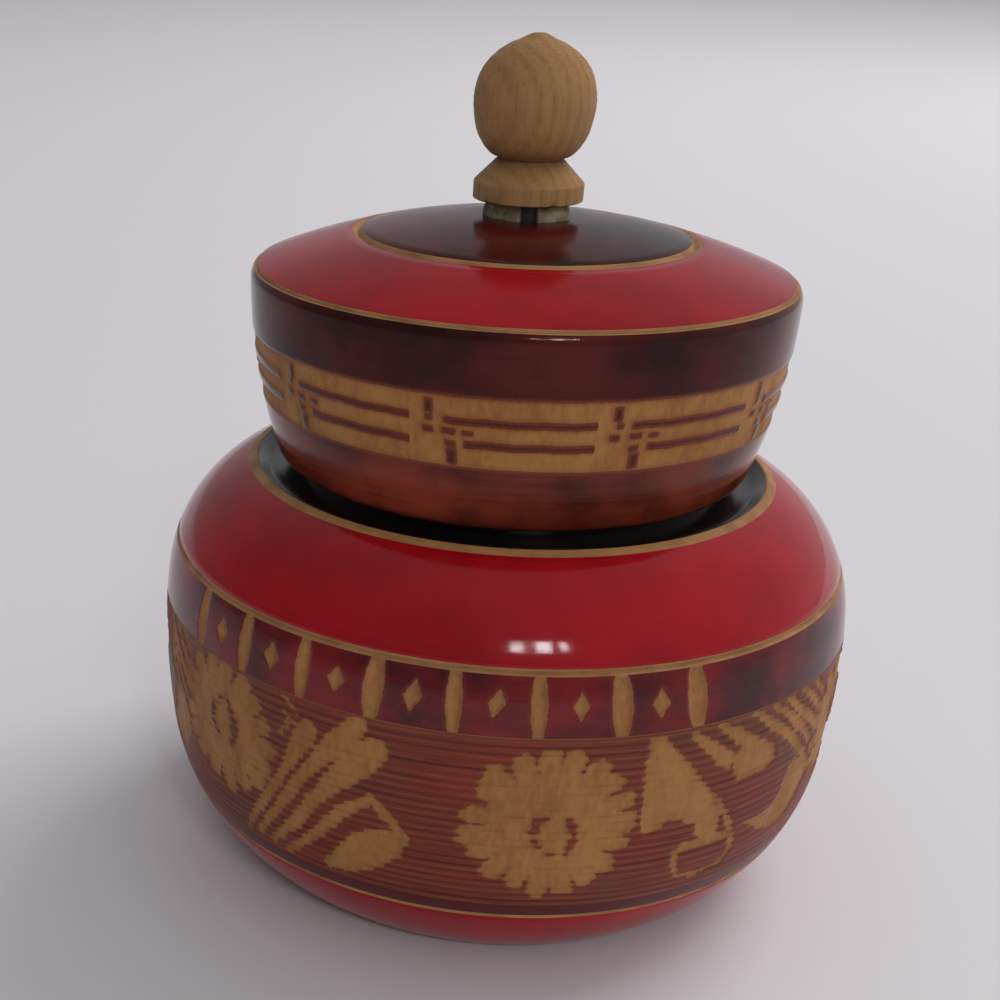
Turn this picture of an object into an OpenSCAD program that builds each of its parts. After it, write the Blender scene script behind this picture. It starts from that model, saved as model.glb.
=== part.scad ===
// Turned wooden box: a round bowl, a lid with a rebated tenon, and a glued ball knob.
// Every piece is turned about the Z axis. The base stands on z = 0.

/* [Bowl] */
// Diameter of the bowl at its widest line
bowl_d = 120; // [104:1:150]
// Height from the base to the top of the rim
bowl_h = 71.5; // [64:0.5:90]
// Height of the widest line above the base
belly_z = 42; // [36:0.5:46]
// How far the foot's edge lies inside the widest line
foot_in = 16.4; // [10:0.2:24]
// How far the rim's top edge lies inside the widest line
mouth_in = 16.2; // [12:0.2:22]
// Radius of the long arc below the widest line
belly_arc = 140; // [90:1:200]
// How far the long arc reaches below the widest line
belly_drop = 17; // [10:0.5:24]
// Radius of the arc above the widest line
shoulder_arc = 72; // [50:1:120]
// How far that arc reaches above the widest line
shoulder_rise = 10; // [6:0.5:14]
// Thickness of the wall round the hollow
wall = 8; // [5:0.5:10]
// Thickness of the floor under the hollow
floor_t = 9; // [6:0.5:14]
// Depth of the lip between the rim and the hollow
lip_t = 7.2; // [6:0.2:10]

/* [Mouth] */
// Width of the bare facet on the rim
rim_w = 1.5; // [0.8:0.1:2.5]
// How far that facet falls towards the shoulder
rim_drop = 0.7; // [0.3:0.1:1.2]
// Depth of the seat below the rim
seat_drop = 2; // [1:0.1:3]
// Width of the flare between the rim and the seat
seat_flare = 2.6; // [1:0.1:4]
// How far the throat lies inside the rim
throat_in = 9.4; // [7:0.1:12]

/* [Lid] */
// How far the lid's widest line stands out past the rim
lid_over = 1.4; // [0.5:0.1:5]
// Height of the lid's widest line above the seat
lid_rise = 33.2; // [26:0.1:44]
// Radius of the lid's side, which narrows downwards
lid_side_arc = 88; // [70:1:140]
// Radius of the lid's rounded lower edge
lid_edge = 3; // [1.5:0.1:5]
// Radius of the rounding between the lid's side and its dome
lid_brow = 2.4; // [1:0.1:4]
// Radius of the domed top
dome_arc = 109; // [80:1:180]
// Height of the rebate that holds the lid's lower edge above the seat
rebate_h = 2.7; // [1.5:0.1:4]
// Width of the rebate's foot on the seat
rebate_w = 1.6; // [1:0.1:3]
// Length of the tenon below the seat
tenon_len = 7; // [4:0.5:12]
// Gap between the tenon and the throat, all round
tenon_gap = 0.4; // [0.3:0.05:0.8]
// Thickness of the tenon's wall
tenon_wall = 5; // [3:0.5:8]
// Depth of the hollow in the lid
hollow_h = 34; // [20:0.5:38]
// Rounding at the top of that hollow
hollow_round = 12; // [4:0.5:18]

/* [Knob] */
// Diameter of the ball
ball_d = 19.6; // [14:0.1:26]
// Diameter of the neck under the ball
neck_d = 10.4; // [8:0.1:13]
// Height of the straight neck
neck_h = 1; // [0.5:0.1:3]
// Diameter of the collar
collar_d = 18; // [15:0.1:24]
// Height of the collar's upper cone
cone_h = 3.1; // [1.5:0.1:6]
// Height of the collar's upright edge
collar_edge = 1.9; // [0.8:0.1:4]
// Height of the bevel under that edge
bevel_h = 2; // [1:0.1:4]
// How far the bevel runs in
bevel_in = 1.6; // [0.8:0.1:2.5]
// Height of the stub that stands on the lid
stub_h = 1; // [0.5:0.1:2]
// Diameter of the turning pip on the ball
pip_d = 3.2; // [1:0.1:5]
// Height of that pip
pip_h = 0.5; // [0.2:0.1:1.5]
// Diameter of the knob's tenon
peg_d = 7; // [5:0.1:9]
// Length of the knob's tenon
peg_len = 9; // [5:0.5:11]
// Gap between the knob's tenon and its bore, all round
peg_gap = 0.1; // [0.05:0.05:0.3]
// Space left under the knob's tenon
peg_end = 0.5; // [0.2:0.1:1]
// Radius of the glue bead's section
bead_r = 1.7; // [1:0.1:2.2]

/* [Turned lines] */
// How far the upper line lies above the bowl's widest line
upper_line_rise = 15.8; // [14:0.1:18]
// Height of the lower line above the base
lower_line_z = 14.3; // [8:0.1:20]
// Radius of the line on the lid's dome
dome_line_r = 28.2; // [18:0.1:38]
// Width of the broad lines
line_w = 1.5; // [0.8:0.1:2]
// Width of the fine lines
fine_line_w = 0.9; // [0.5:0.1:1.5]
// Depth of the lines as a share of their width
line_depth = 0.4; // [0.2:0.05:0.6]
// Angle above the level of the line on the lid's brow
brow_line_a = 49; // [20:1:70]

/* [Hidden] */
$fn = 128;
// How far a chord may lie inside the arc that it stands for
arc_sag = 0.012;

// Radius of the arc that leaves p along the tangent there (n is the normal at p) and ends at q
function blend_arc(p, n, q) = let (d = p - q) (d * d) / (2 * (n * d));
// Unit vector at an angle
function unit(a) = [cos(a), sin(a)];

// Outline of the bowl: four arcs, each tangent to the next
bowl_r = bowl_d / 2;
mouth_r = bowl_r - mouth_in;
belly_c = [bowl_r - belly_arc, belly_z];
shoulder_c = [bowl_r - shoulder_arc, belly_z];
foot_a = -asin(belly_drop / belly_arc);
brow_a = asin(shoulder_rise / shoulder_arc);
foot_join = belly_c + belly_arc * unit(foot_a);
brow_join = shoulder_c + shoulder_arc * unit(brow_a);
rim_edge = [mouth_r + rim_w, bowl_h - rim_drop];
foot_arc = blend_arc(foot_join, unit(foot_a), [bowl_r - foot_in, 0]);
brow_arc = blend_arc(brow_join, unit(brow_a), rim_edge);
foot_c = foot_join - foot_arc * unit(foot_a);
brow_c = brow_join - brow_arc * unit(brow_a);

// Seat and throat
seat_z = bowl_h - seat_drop;
seat_r = mouth_r - seat_flare;
throat_r = mouth_r - throat_in;
hollow_top_z = bowl_h - lip_t;
upper_line_z = belly_z + upper_line_rise;

// Outline of the lid, from its seat upwards
lid_r = mouth_r + lid_over;
lid_z = seat_z + lid_rise;
under_z = seat_z + rebate_h;
side_c = [lid_r - lid_side_arc, lid_z];
edge_z = under_z + lid_edge;
edge_reach = sqrt(pow(lid_side_arc - lid_edge, 2) - pow(lid_z - edge_z, 2));
edge_c = [side_c.x + edge_reach, edge_z];
edge_a = -asin((lid_z - edge_z) / (lid_side_arc - lid_edge));
lid_brow_c = [lid_r - lid_brow, lid_z];
dome_c = [0, lid_z - sqrt(pow(dome_arc - lid_brow, 2) - pow(lid_brow_c.x, 2))];
dome_a = acos(lid_brow_c.x / (dome_arc - lid_brow));
rebate_r = throat_r + rebate_w;
tenon_r = throat_r - tenon_gap;
tenon_z = seat_z - tenon_len;
hollow_r = tenon_r - tenon_wall;

// The knob stands on a flat turned into the dome, a little wider than its stub
collar_r = collar_d / 2;
stub_r = collar_r - bevel_in;
flat_r = stub_r + bead_r;
flat_z = dome_c.y + sqrt(dome_arc * dome_arc - flat_r * flat_r);
bevel_z = flat_z + stub_h;
edge_low_z = bevel_z + bevel_h;
edge_top_z = edge_low_z + collar_edge;
neck_z = edge_top_z + cone_h;
ball_r = ball_d / 2;
neck_r = neck_d / 2;
ball_z = neck_z + neck_h + sqrt(ball_r * ball_r - neck_r * neck_r);

// Points along an arc from angle a to angle b, without the first one
function arc_on(c, r, a, b) =
    let (n = ceil(abs(b - a) / (2 * acos(1 - arc_sag / r))))
    [for (i = [1 : n]) c + r * unit(a + (b - a) * i / n)];

// Angle of an arc's normal at a given height
function arc_angle(c, r, z) = asin(min((z - c.y) / r, 1));

// Outline of the bowl moved inwards by t, upwards from one angle to another
function bowl_line(t, from, to) = concat(
    [foot_c + (foot_arc - t) * unit(from)],
    arc_on(foot_c, foot_arc - t, from, foot_a),
    arc_on(belly_c, belly_arc - t, foot_a, 0),
    arc_on(shoulder_c, shoulder_arc - t, 0, brow_a),
    arc_on(brow_c, brow_arc - t, brow_a, to)
);

// The same points in the opposite order
function backwards(points) = [for (i = [len(points) - 1 : -1 : 0]) points[i]];

// V-shaped groove of width w on an arc, where its normal lies at angle a
module line_cut(c, r, a, w) {
    depth = w * line_depth;
    translate(c + r * unit(a)) rotate(a) polygon([[-depth, 0], [depth, -w], [depth, w]]);
}

module bowl_section() {
    outside = bowl_line(0, arc_angle(foot_c, foot_arc, 0), arc_angle(brow_c, brow_arc, rim_edge.y));
    inner_brow = arc_angle(brow_c, brow_arc - wall, hollow_top_z);
    inside = bowl_line(wall, arc_angle(foot_c, foot_arc - wall, floor_t), inner_brow);
    mouth = [[mouth_r, bowl_h], [seat_r, seat_z], [throat_r, seat_z], [throat_r, hollow_top_z]];
    difference() {
        polygon(concat([[0, 0]], outside, mouth, backwards(inside), [[0, floor_t]]));
        line_cut(brow_c, brow_arc, arc_angle(brow_c, brow_arc, upper_line_z), line_w);
        line_cut(foot_c, foot_arc, arc_angle(foot_c, foot_arc, lower_line_z), fine_line_w);
    }
}

module lid_section() {
    tenon = [[hollow_r, tenon_z], [tenon_r, tenon_z], [tenon_r, seat_z]];
    rebate = [[rebate_r, seat_z], [rebate_r, under_z], [edge_c.x, under_z]];
    outside = concat(
        arc_on(edge_c, lid_edge, -90, edge_a),
        arc_on(side_c, lid_side_arc, edge_a, 0),
        arc_on(lid_brow_c, lid_brow, 0, dome_a),
        arc_on(dome_c, dome_arc, dome_a, acos(flat_r / dome_arc))
    );
    bore_r = peg_d / 2 + peg_gap;
    bore_z = flat_z - peg_len - peg_end;
    bore = [[bore_r, flat_z], [bore_r, bore_z], [0, bore_z]];
    hollow_c = [hollow_r - hollow_round, tenon_z + hollow_h - hollow_round];
    hollow_top = hollow_c + [0, hollow_round];
    hollow = concat([[0, hollow_top.y], hollow_top], arc_on(hollow_c, hollow_round, 90, 0));
    difference() {
        polygon(concat(tenon, rebate, outside, bore, hollow));
        line_cut(lid_brow_c, lid_brow, brow_line_a, fine_line_w);
        line_cut(dome_c, dome_arc, acos(dome_line_r / dome_arc), line_w);
    }
}

module knob_section() {
    peg_r = peg_d / 2;
    pip_r = pip_d / 2;
    ball_c = [0, ball_z];
    peg = [[0, flat_z - peg_len], [peg_r, flat_z - peg_len], [peg_r, flat_z]];
    collar = [[stub_r, flat_z], [stub_r, bevel_z], [collar_r, edge_low_z], [collar_r, edge_top_z]];
    neck = [[neck_r, neck_z], [neck_r, neck_z + neck_h]];
    ball = arc_on(ball_c, ball_r, -acos(neck_r / ball_r), acos(pip_r / ball_r));
    pip_z = ball_z + ball_r + pip_h;
    polygon(concat(peg, collar, neck, ball, [[pip_r, pip_z], [0, pip_z]]));
}

// Bead of glue between the lid's flat, the knob's stub and the bevel above it
module bead_section() {
    slope = bevel_h / bevel_in;
    meet_a = atan(slope) + asin(stub_h / bead_r / sqrt(1 + slope * slope));
    foot = [stub_r, flat_z];
    polygon(concat([foot, foot + [bead_r, 0]], arc_on(foot, bead_r, 0, meet_a), [[stub_r, bevel_z]]));
}

module bowl() {
    color([0.45, 0.05, 0.09]) rotate_extrude() bowl_section();
}

module lid() {
    color([0.28, 0.11, 0.09]) rotate_extrude() lid_section();
}

module knob() {
    color([0.68, 0.52, 0.35]) rotate_extrude() knob_section();
}

module knob_glue() {
    color([0.72, 0.69, 0.63]) rotate_extrude() bead_section();
}

bowl();
lid();
knob();
knob_glue();
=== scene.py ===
"""Looks of a turned wooden box: lacquered bowl and lid, scraped ornament, raw knob and its glue.

Sizes are in millimetres in the classes and in metres in the meshes.
"""

import logging
import math
from dataclasses import dataclass, field
from enum import Enum
from functools import cached_property

import bmesh
import bpy
import numpy as np
from mathutils import Matrix, Vector


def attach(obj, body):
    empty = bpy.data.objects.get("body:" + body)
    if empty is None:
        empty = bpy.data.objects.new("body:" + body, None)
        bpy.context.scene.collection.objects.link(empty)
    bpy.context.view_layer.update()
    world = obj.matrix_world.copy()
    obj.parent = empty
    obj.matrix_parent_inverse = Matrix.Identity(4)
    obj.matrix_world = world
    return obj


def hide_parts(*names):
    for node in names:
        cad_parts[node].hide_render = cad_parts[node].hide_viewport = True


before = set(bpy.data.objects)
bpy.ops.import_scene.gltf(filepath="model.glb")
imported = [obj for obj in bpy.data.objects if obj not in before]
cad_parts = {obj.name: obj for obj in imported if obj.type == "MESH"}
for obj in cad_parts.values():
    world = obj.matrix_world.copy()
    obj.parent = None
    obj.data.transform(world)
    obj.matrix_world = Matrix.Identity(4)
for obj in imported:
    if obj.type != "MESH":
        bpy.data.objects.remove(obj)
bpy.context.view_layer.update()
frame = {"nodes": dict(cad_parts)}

LOG = logging.getLogger("turned_box")
MM = 0.001
FULL_TURN = 2.0 * math.pi
MERGE_GAP = 2e-6  # metres within which spun vertices are one
SAME_POINT = 1e-4  # millimetres within which points of a section are one
SKIN = 0.5  # millimetres under an outline that still count as its outside
FAR = 9.0  # millimetres noted where nothing is cut
BAKE_MARGIN = 0.004  # share of the bake map left free at either end of a section
ROW_LAYER = "row"
CUT_LAYER = "cut"
BAKE_MAP = "OFBake"

Point = tuple[float, float]
Triple = tuple[float, float, float]
Path = tuple[Triple, ...]
Colour = tuple[float, float, float, float]
Grid = np.ndarray


class Body(Enum):
    """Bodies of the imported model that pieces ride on."""

    BOX = "box"
    COVER = "cover"


class Slot(Enum):
    """Material slots of the record."""

    RED = "red_lacquer"
    BROWN = "brown_lacquer"
    WOOD = "bare_wood"
    GLUE = "dried_glue"


class Zone(Enum):
    """Strips of a turned surface that take different finishes."""

    RED = "red"
    BROWN = "brown"
    BARE = "bare"
    DARK = "dark"
    CARVED = "carved"
    END = "end grain"
    ALL = "all"


# Outlines -------------------------------------------------------------------


@dataclass(frozen=True)
class Arc:
    """An arc of a turned outline, by its centre and radius.

    Args:
        r: Distance of the centre from the turning axis.
        z: Height of the centre.
        radius: Radius of the arc.
    """

    r: float
    z: float
    radius: float

    def at(self, angle: float, inset: float = 0.0) -> Point:
        """Point where the arc's normal lies at an angle, moved inwards by inset."""
        reach = self.radius - inset
        return (self.r + reach * math.cos(angle), self.z + reach * math.sin(angle))

    def angle(self, z: float) -> float:
        """Angle of the arc's normal at a height."""
        return math.asin(max(-1.0, min(1.0, (z - self.z) / self.radius)))

    def reach(self, z: Grid) -> Grid:
        """Distance of the arc from the axis at each height."""
        return self.r + np.sqrt(np.maximum(self.radius**2 - (z - self.z) ** 2, 0.0))

    def sweep(self, start: float, end: float, rows: int, inset: float = 0.0) -> list[Point]:
        """Points along the arc, both ends included.

        Args:
            start: Angle of the first point.
            end: Angle of the last point.
            rows: Number of strips between them.
            inset: How far the points lie inside the arc.

        Returns:
            The points in order.
        """
        return [self.at(a, inset) for a in np.linspace(start, end, rows + 1)]

    def groove(self, angle: float, width: float, depth: float, rows: int = 6) -> list[Point]:
        """Section of a V groove cut into the arc, from its lower edge to its upper one.

        Args:
            angle: Angle of the arc's normal at the groove.
            width: Width of the groove at the surface.
            depth: Depth of the groove.
            rows: Number of strips across it.

        Returns:
            The points in order.
        """
        half = 0.5 * width / self.radius
        spread = np.linspace(-1.0, 1.0, rows + 1)
        return [self.at(angle + t * half, depth * (1.0 - abs(t))) for t in spread]


@dataclass(frozen=True)
class BowlOutline:
    """Outside of the bowl: four arcs, each tangent to the next.

    Args:
        widest: Radius of the widest line.
        widest_z: Height of that line.
        foot: Radius of the foot.
        belly_arc: Radius of the arc below the widest line.
        belly_drop: How far that arc goes down.
        shoulder_arc: Radius of the arc above the widest line.
        shoulder_rise: How far that arc goes up.
        rim: Radius where the outside meets the mouth's edge.
        rim_z: Height of that place.
    """

    widest: float = 60.0
    widest_z: float = 42.0
    foot: float = 43.6
    belly_arc: float = 140.0
    belly_drop: float = 17.0
    shoulder_arc: float = 72.0
    shoulder_rise: float = 10.0
    rim: float = 45.3
    rim_z: float = 70.8

    @cached_property
    def belly(self) -> Arc:
        """Long arc below the widest line."""
        return Arc(self.widest - self.belly_arc, self.widest_z, self.belly_arc)

    @cached_property
    def shoulder(self) -> Arc:
        """Arc above the widest line."""
        return Arc(self.widest - self.shoulder_arc, self.widest_z, self.shoulder_arc)

    @cached_property
    def foot_join(self) -> float:
        """Angle where the foot's arc meets the belly's."""
        return -math.asin(self.belly_drop / self.belly_arc)

    @cached_property
    def brow_join(self) -> float:
        """Angle where the brow's arc meets the shoulder's."""
        return math.asin(self.shoulder_rise / self.shoulder_arc)

    @cached_property
    def base(self) -> Arc:
        """Arc that curves under to the foot's edge."""
        return self._next(self.belly, self.foot_join, (self.foot, 0.0))

    @cached_property
    def brow(self) -> Arc:
        """Arc that curves over to the rim."""
        return self._next(self.shoulder, self.brow_join, (self.rim, self.rim_z))

    @staticmethod
    def _next(arc: Arc, join: float, end: Point) -> Arc:
        """Arc that goes on from another without a kink.

        Args:
            arc: The other arc.
            join: Angle of the normal where they meet.
            end: Where the new arc ends.

        Returns:
            The new arc.
        """
        start, normal = np.array(arc.at(join)), np.array([math.cos(join), math.sin(join)])
        gap = start - np.array(end)
        radius = float(gap @ gap / (2.0 * (normal @ gap)))
        r, z = start - radius * normal
        return Arc(float(r), float(z), radius)

    def reach(self, z: Grid | float) -> Grid:
        """Distance of the outside from the axis.

        Args:
            z: Heights.

        Returns:
            The distance at each of them.
        """
        z = np.asarray(z, float)
        reflection_fade_z, brow_z = self.belly.at(self.foot_join)[1], self.shoulder.at(self.brow_join)[1]
        upper = np.where(z < brow_z, self.shoulder.reach(z), self.brow.reach(z))
        lower = np.where(z < reflection_fade_z, self.base.reach(z), self.belly.reach(z))
        return np.where(z < self.widest_z, lower, upper)

    def rows(self, start: float, end: float, strips: int, inset: float = 0.0) -> list[Point]:
        """Points on the outside at evenly spaced heights, moved towards the axis by inset."""
        heights = np.linspace(start, end, strips + 1)
        return [(float(self.reach(z)) - inset, float(z)) for z in heights]


# Turned meshes --------------------------------------------------------------


@dataclass
class Profile:
    """Half section of a turned piece.

    Args:
        points: Its points in order, each by radius and height.
        zones: Zone of the strip that leads to each point.
        closed: Whether the last point leads to the first.
    """

    points: list[Point] = field(default_factory=list)
    zones: list[Zone] = field(default_factory=list)
    closed: bool = False

    def add(self, points: list[Point], zone: Zone = Zone.ALL) -> "Profile":
        """Adds a run of points, without one that repeats the last.

        Args:
            points: The run in order.
            zone: Zone of the strips that lead to them.

        Returns:
            The profile itself.
        """
        for point in points:
            if not self.points or math.dist(point, self.points[-1]) > SAME_POINT:
                self.points.append((float(point[0]), float(point[1])))
                self.zones.append(zone)
        return self

    def to(self, end: Point, strips: int, zone: Zone = Zone.ALL) -> "Profile":
        """Adds a straight run from the last point."""
        return self.add(line(self.points[-1], end, strips), zone)

    def order(self) -> list[Zone]:
        """Zones in the order in which they first come."""
        return list(dict.fromkeys(self.zones))

    def lengths(self) -> Grid:
        """Distance along the section to each point, and to the first again if it is closed."""
        ring = np.array(self.points + self.points[:1])
        return np.concatenate([[0.0], np.cumsum(np.hypot(*np.diff(ring, axis=0).T))])


def line(start: Point, end: Point, strips: int) -> list[Point]:
    """Evenly spaced points from start to end."""
    return [tuple(p) for p in np.linspace(start, end, strips + 1)]


def eased(before: Point, corner: Point, after: Point, size: float, strips: int = 3) -> list[Point]:
    """Points that round a corner off.

    Args:
        before: A point on the way to the corner.
        corner: The corner.
        after: A point on the way from it.
        size: How far from the corner the rounding starts.
        strips: Number of strips in it.

    Returns:
        The points in order.
    """
    mid = np.array(corner, float)
    to, on = np.array(before) - mid, np.array(after) - mid
    start, end = mid + size * to / np.hypot(*to), mid + size * on / np.hypot(*on)
    shares = np.linspace(0.0, 1.0, strips + 1)
    return [tuple((1 - t) ** 2 * start + 2 * t * (1 - t) * mid + t * t * end) for t in shares]


@dataclass
class Turned:
    """A mesh that is spun from a profile about the Z axis: one wedge, doubled until it closes.

    Args:
        name: Name of the piece.
        profile: Its half section.
        steps: Number of strips round the axis, a multiple of the number of wedges.
        strips: Number of strips that its bake map is laid in.
        doublings: How many times the first wedge is doubled.
    """

    name: str
    profile: Profile
    steps: int
    strips: int = 1
    doublings: int = 3

    def spin(self) -> bpy.types.Object:
        """Spins the profile and links the object.

        Returns:
            The object, with the row of every vertex in an attribute.
        """
        bm = bmesh.new()
        row = bm.verts.layers.float.new(ROW_LAYER)
        verts = []
        for index, (r, z) in enumerate(self.profile.points):
            vert = bm.verts.new((r * MM, 0.0, z * MM))
            vert[row] = index
            verts.append(vert)
        pairs = list(zip(verts, verts[1:]))
        if self.profile.closed:
            pairs.append((verts[-1], verts[0]))
        for pair in pairs:
            bm.edges.new(pair)
        wedge = FULL_TURN / 2**self.doublings
        bmesh.ops.spin(
            bm,
            geom=bm.verts[:] + bm.edges[:],
            cent=(0.0, 0.0, 0.0),
            axis=(0.0, 0.0, 1.0),
            angle=wedge,
            steps=self.steps // 2**self.doublings,
        )
        for _ in range(self.doublings):
            copy = bmesh.ops.duplicate(bm, geom=bm.verts[:] + bm.edges[:] + bm.faces[:])
            moved = [v for v in copy["geom"] if isinstance(v, bmesh.types.BMVert)]
            bmesh.ops.rotate(bm, verts=moved, cent=(0.0, 0.0, 0.0), matrix=Matrix.Rotation(wedge, 3, "Z"))
            wedge *= 2.0
        bmesh.ops.remove_doubles(bm, verts=bm.verts[:], dist=MERGE_GAP)
        bmesh.ops.recalc_face_normals(bm, faces=bm.faces[:])
        mesh = bpy.data.meshes.new(self.name)
        bm.to_mesh(mesh)
        bm.free()
        obj = bpy.data.objects.new(self.name, mesh)
        bpy.context.scene.collection.objects.link(obj)
        self._lay_out(mesh)
        return obj

    def _lay_out(self, mesh: bpy.types.Mesh) -> None:
        """Gives each face its zone's material index and each corner its place on the bake map.

        Args:
            mesh: The spun mesh.
        """
        corner = np.empty(len(mesh.loops), np.int32)
        mesh.loops.foreach_get("vertex_index", corner)
        first = np.empty(len(mesh.polygons), np.int32)
        mesh.polygons.foreach_get("loop_start", first)
        face = np.repeat(np.arange(len(first)), np.diff(np.append(first, len(corner))))
        rows = np.empty(len(mesh.vertices), np.float32)
        mesh.attributes[ROW_LAYER].data.foreach_get("value", rows)
        row = np.rint(rows[corner]).astype(int)
        wraps = np.maximum.reduceat(row, first) - np.minimum.reduceat(row, first) > 1
        row = np.where(wraps[face] & (row == 0), len(self.profile.points), row)
        order, zones = self.profile.order(), self.profile.zones
        slots = np.array([order.index(zone) for zone in zones + zones[:1]], np.int32)
        mesh.polygons.foreach_set("material_index", slots[np.maximum.reduceat(row, first)])
        x, y, _ = coordinates(mesh)[corner].T
        turn = np.arctan2(y, x) / FULL_TURN % 1.0
        pole = np.hypot(x, y) < MERGE_GAP
        high = np.fmax.reduceat(np.where(pole, np.nan, turn), first)
        turn = np.where(turn < high[face] - 0.5, turn + 1.0, turn)
        low = np.fmin.reduceat(np.where(pole, np.nan, turn), first)
        turn = np.where(pole, low[face], turn)
        strip = np.floor(low * self.strips + 0.5 * self.strips / self.steps)[face]
        along = self.profile.lengths()
        across = BAKE_MARGIN + (1.0 - 2.0 * BAKE_MARGIN) * along[row] / along[-1]
        spot = np.stack([turn * self.strips - strip, (strip % self.strips + across) / self.strips], 1)
        layer = mesh.uv_layers.new(name=BAKE_MAP)
        layer.uv.foreach_set("vector", np.clip(spot, 0.0, 1.0).astype(np.float32).ravel())


def coordinates(mesh: bpy.types.Mesh) -> Grid:
    """Vertex places of a mesh.

    Args:
        mesh: The mesh.

    Returns:
        An array of three columns, in metres.
    """
    flat = np.empty(len(mesh.vertices) * 3, np.float32)
    mesh.vertices.foreach_get("co", flat)
    return flat.reshape(-1, 3).astype(float)


def set_coordinates(mesh: bpy.types.Mesh, place: Grid) -> None:
    """Moves the vertices of a mesh."""
    mesh.vertices.foreach_set("co", place.astype(np.float32).ravel())
    mesh.update()


def sink(obj: bpy.types.Object, depth: Grid) -> None:
    """Moves each vertex inwards along its normal.

    Args:
        obj: The object.
        depth: Depth at each vertex, in millimetres.
    """
    mesh = obj.data
    normal = np.empty(len(mesh.vertices) * 3, np.float32)
    mesh.vertices.foreach_get("normal", normal)
    set_coordinates(mesh, coordinates(mesh) - normal.reshape(-1, 3) * depth[:, None] * MM)


def note_cut(obj: bpy.types.Object, distance: Grid) -> None:
    """Stores at each vertex how far it lies outside the scraped places, in millimetres."""
    layer = obj.data.attributes.new(CUT_LAYER, "FLOAT", "POINT")
    layer.data.foreach_set("value", distance.astype(np.float32))


def polish(obj: bpy.types.Object, crease: float = 42.0) -> None:
    """Shades an object smooth, apart from edges that turn by more than crease degrees."""
    obj.data.shade_smooth()
    obj.data.set_sharp_from_angle(angle=math.radians(crease))


# Ornament -------------------------------------------------------------------


def smooth(value: Grid, start: float, end: float) -> Grid:
    """Eases from 0 at start to 1 at end."""
    t = np.clip((value - start) / (end - start), 0.0, 1.0)
    return t * t * (3.0 - 2.0 * t)


def scatter(index: Grid, salt: float) -> Grid:
    """A repeatable number from 0 to 1 for each whole index."""
    wave = np.sin(index * 12.9898 + salt * 78.233) * 43758.5453
    return wave - np.floor(wave)


def stroke(s: Grid, z: Grid, path: Path) -> Grid:
    """Signed distance to a scraped stroke.

    Args:
        s: Distance round the wall.
        z: Height.
        path: Points of its middle line, each with its half width.

    Returns:
        The distance, negative inside.
    """
    best = np.full(s.shape, np.inf)
    for (s0, z0, w0), (s1, z1, w1) in zip(path, path[1:]):
        ds, dz = s1 - s0, z1 - z0
        t = np.clip(((s - s0) * ds + (z - z0) * dz) / (ds * ds + dz * dz), 0.0, 1.0)
        gap = np.hypot(s - s0 - t * ds, z - z0 - t * dz)
        best = np.minimum(best, gap - (w0 + t * (w1 - w0)))
    return best


def patch(s: Grid, z: Grid, corners: tuple[Point, ...]) -> Grid:
    """Signed distance to a scraped patch with straight sides.

    Args:
        s: Distance round the wall.
        z: Height.
        corners: Corners of the patch in order.

    Returns:
        The distance, negative inside.
    """
    best = np.full(s.shape, np.inf)
    inside = np.zeros(s.shape, bool)
    for (s0, z0), (s1, z1) in zip(corners, corners[1:] + corners[:1]):
        best = np.minimum(best, stroke(s, z, ((s0, z0, 0.0), (s1, z1, 0.0))))
        if z0 != z1:
            inside ^= ((z0 > z) != (z1 > z)) & (s < s0 + (z - z0) * (s1 - s0) / (z1 - z0))
    return np.where(inside, -best, best)


def slab(s: Grid, z: Grid, middle: Point, size: Point) -> Grid:
    """Signed distance to an upright rectangle, negative inside."""
    a, b = np.abs(s - middle[0]) - size[0] / 2, np.abs(z - middle[1]) - size[1] / 2
    return np.hypot(np.maximum(a, 0), np.maximum(b, 0)) + np.minimum(np.maximum(a, b), 0)


@dataclass(frozen=True)
class Wall:
    """Vertices of a turned mesh, by how they lie round the axis.

    Args:
        r: Distance from the axis, in millimetres.
        z: Height, in millimetres.
        turn: Angle from the front.
    """

    r: Grid
    z: Grid
    turn: Grid

    @classmethod
    def of(cls, obj: bpy.types.Object) -> "Wall":
        """The vertices of an object."""
        x, y, z = coordinates(obj.data).T / MM
        return cls(np.hypot(x, y), z, np.arctan2(x, -y))


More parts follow.
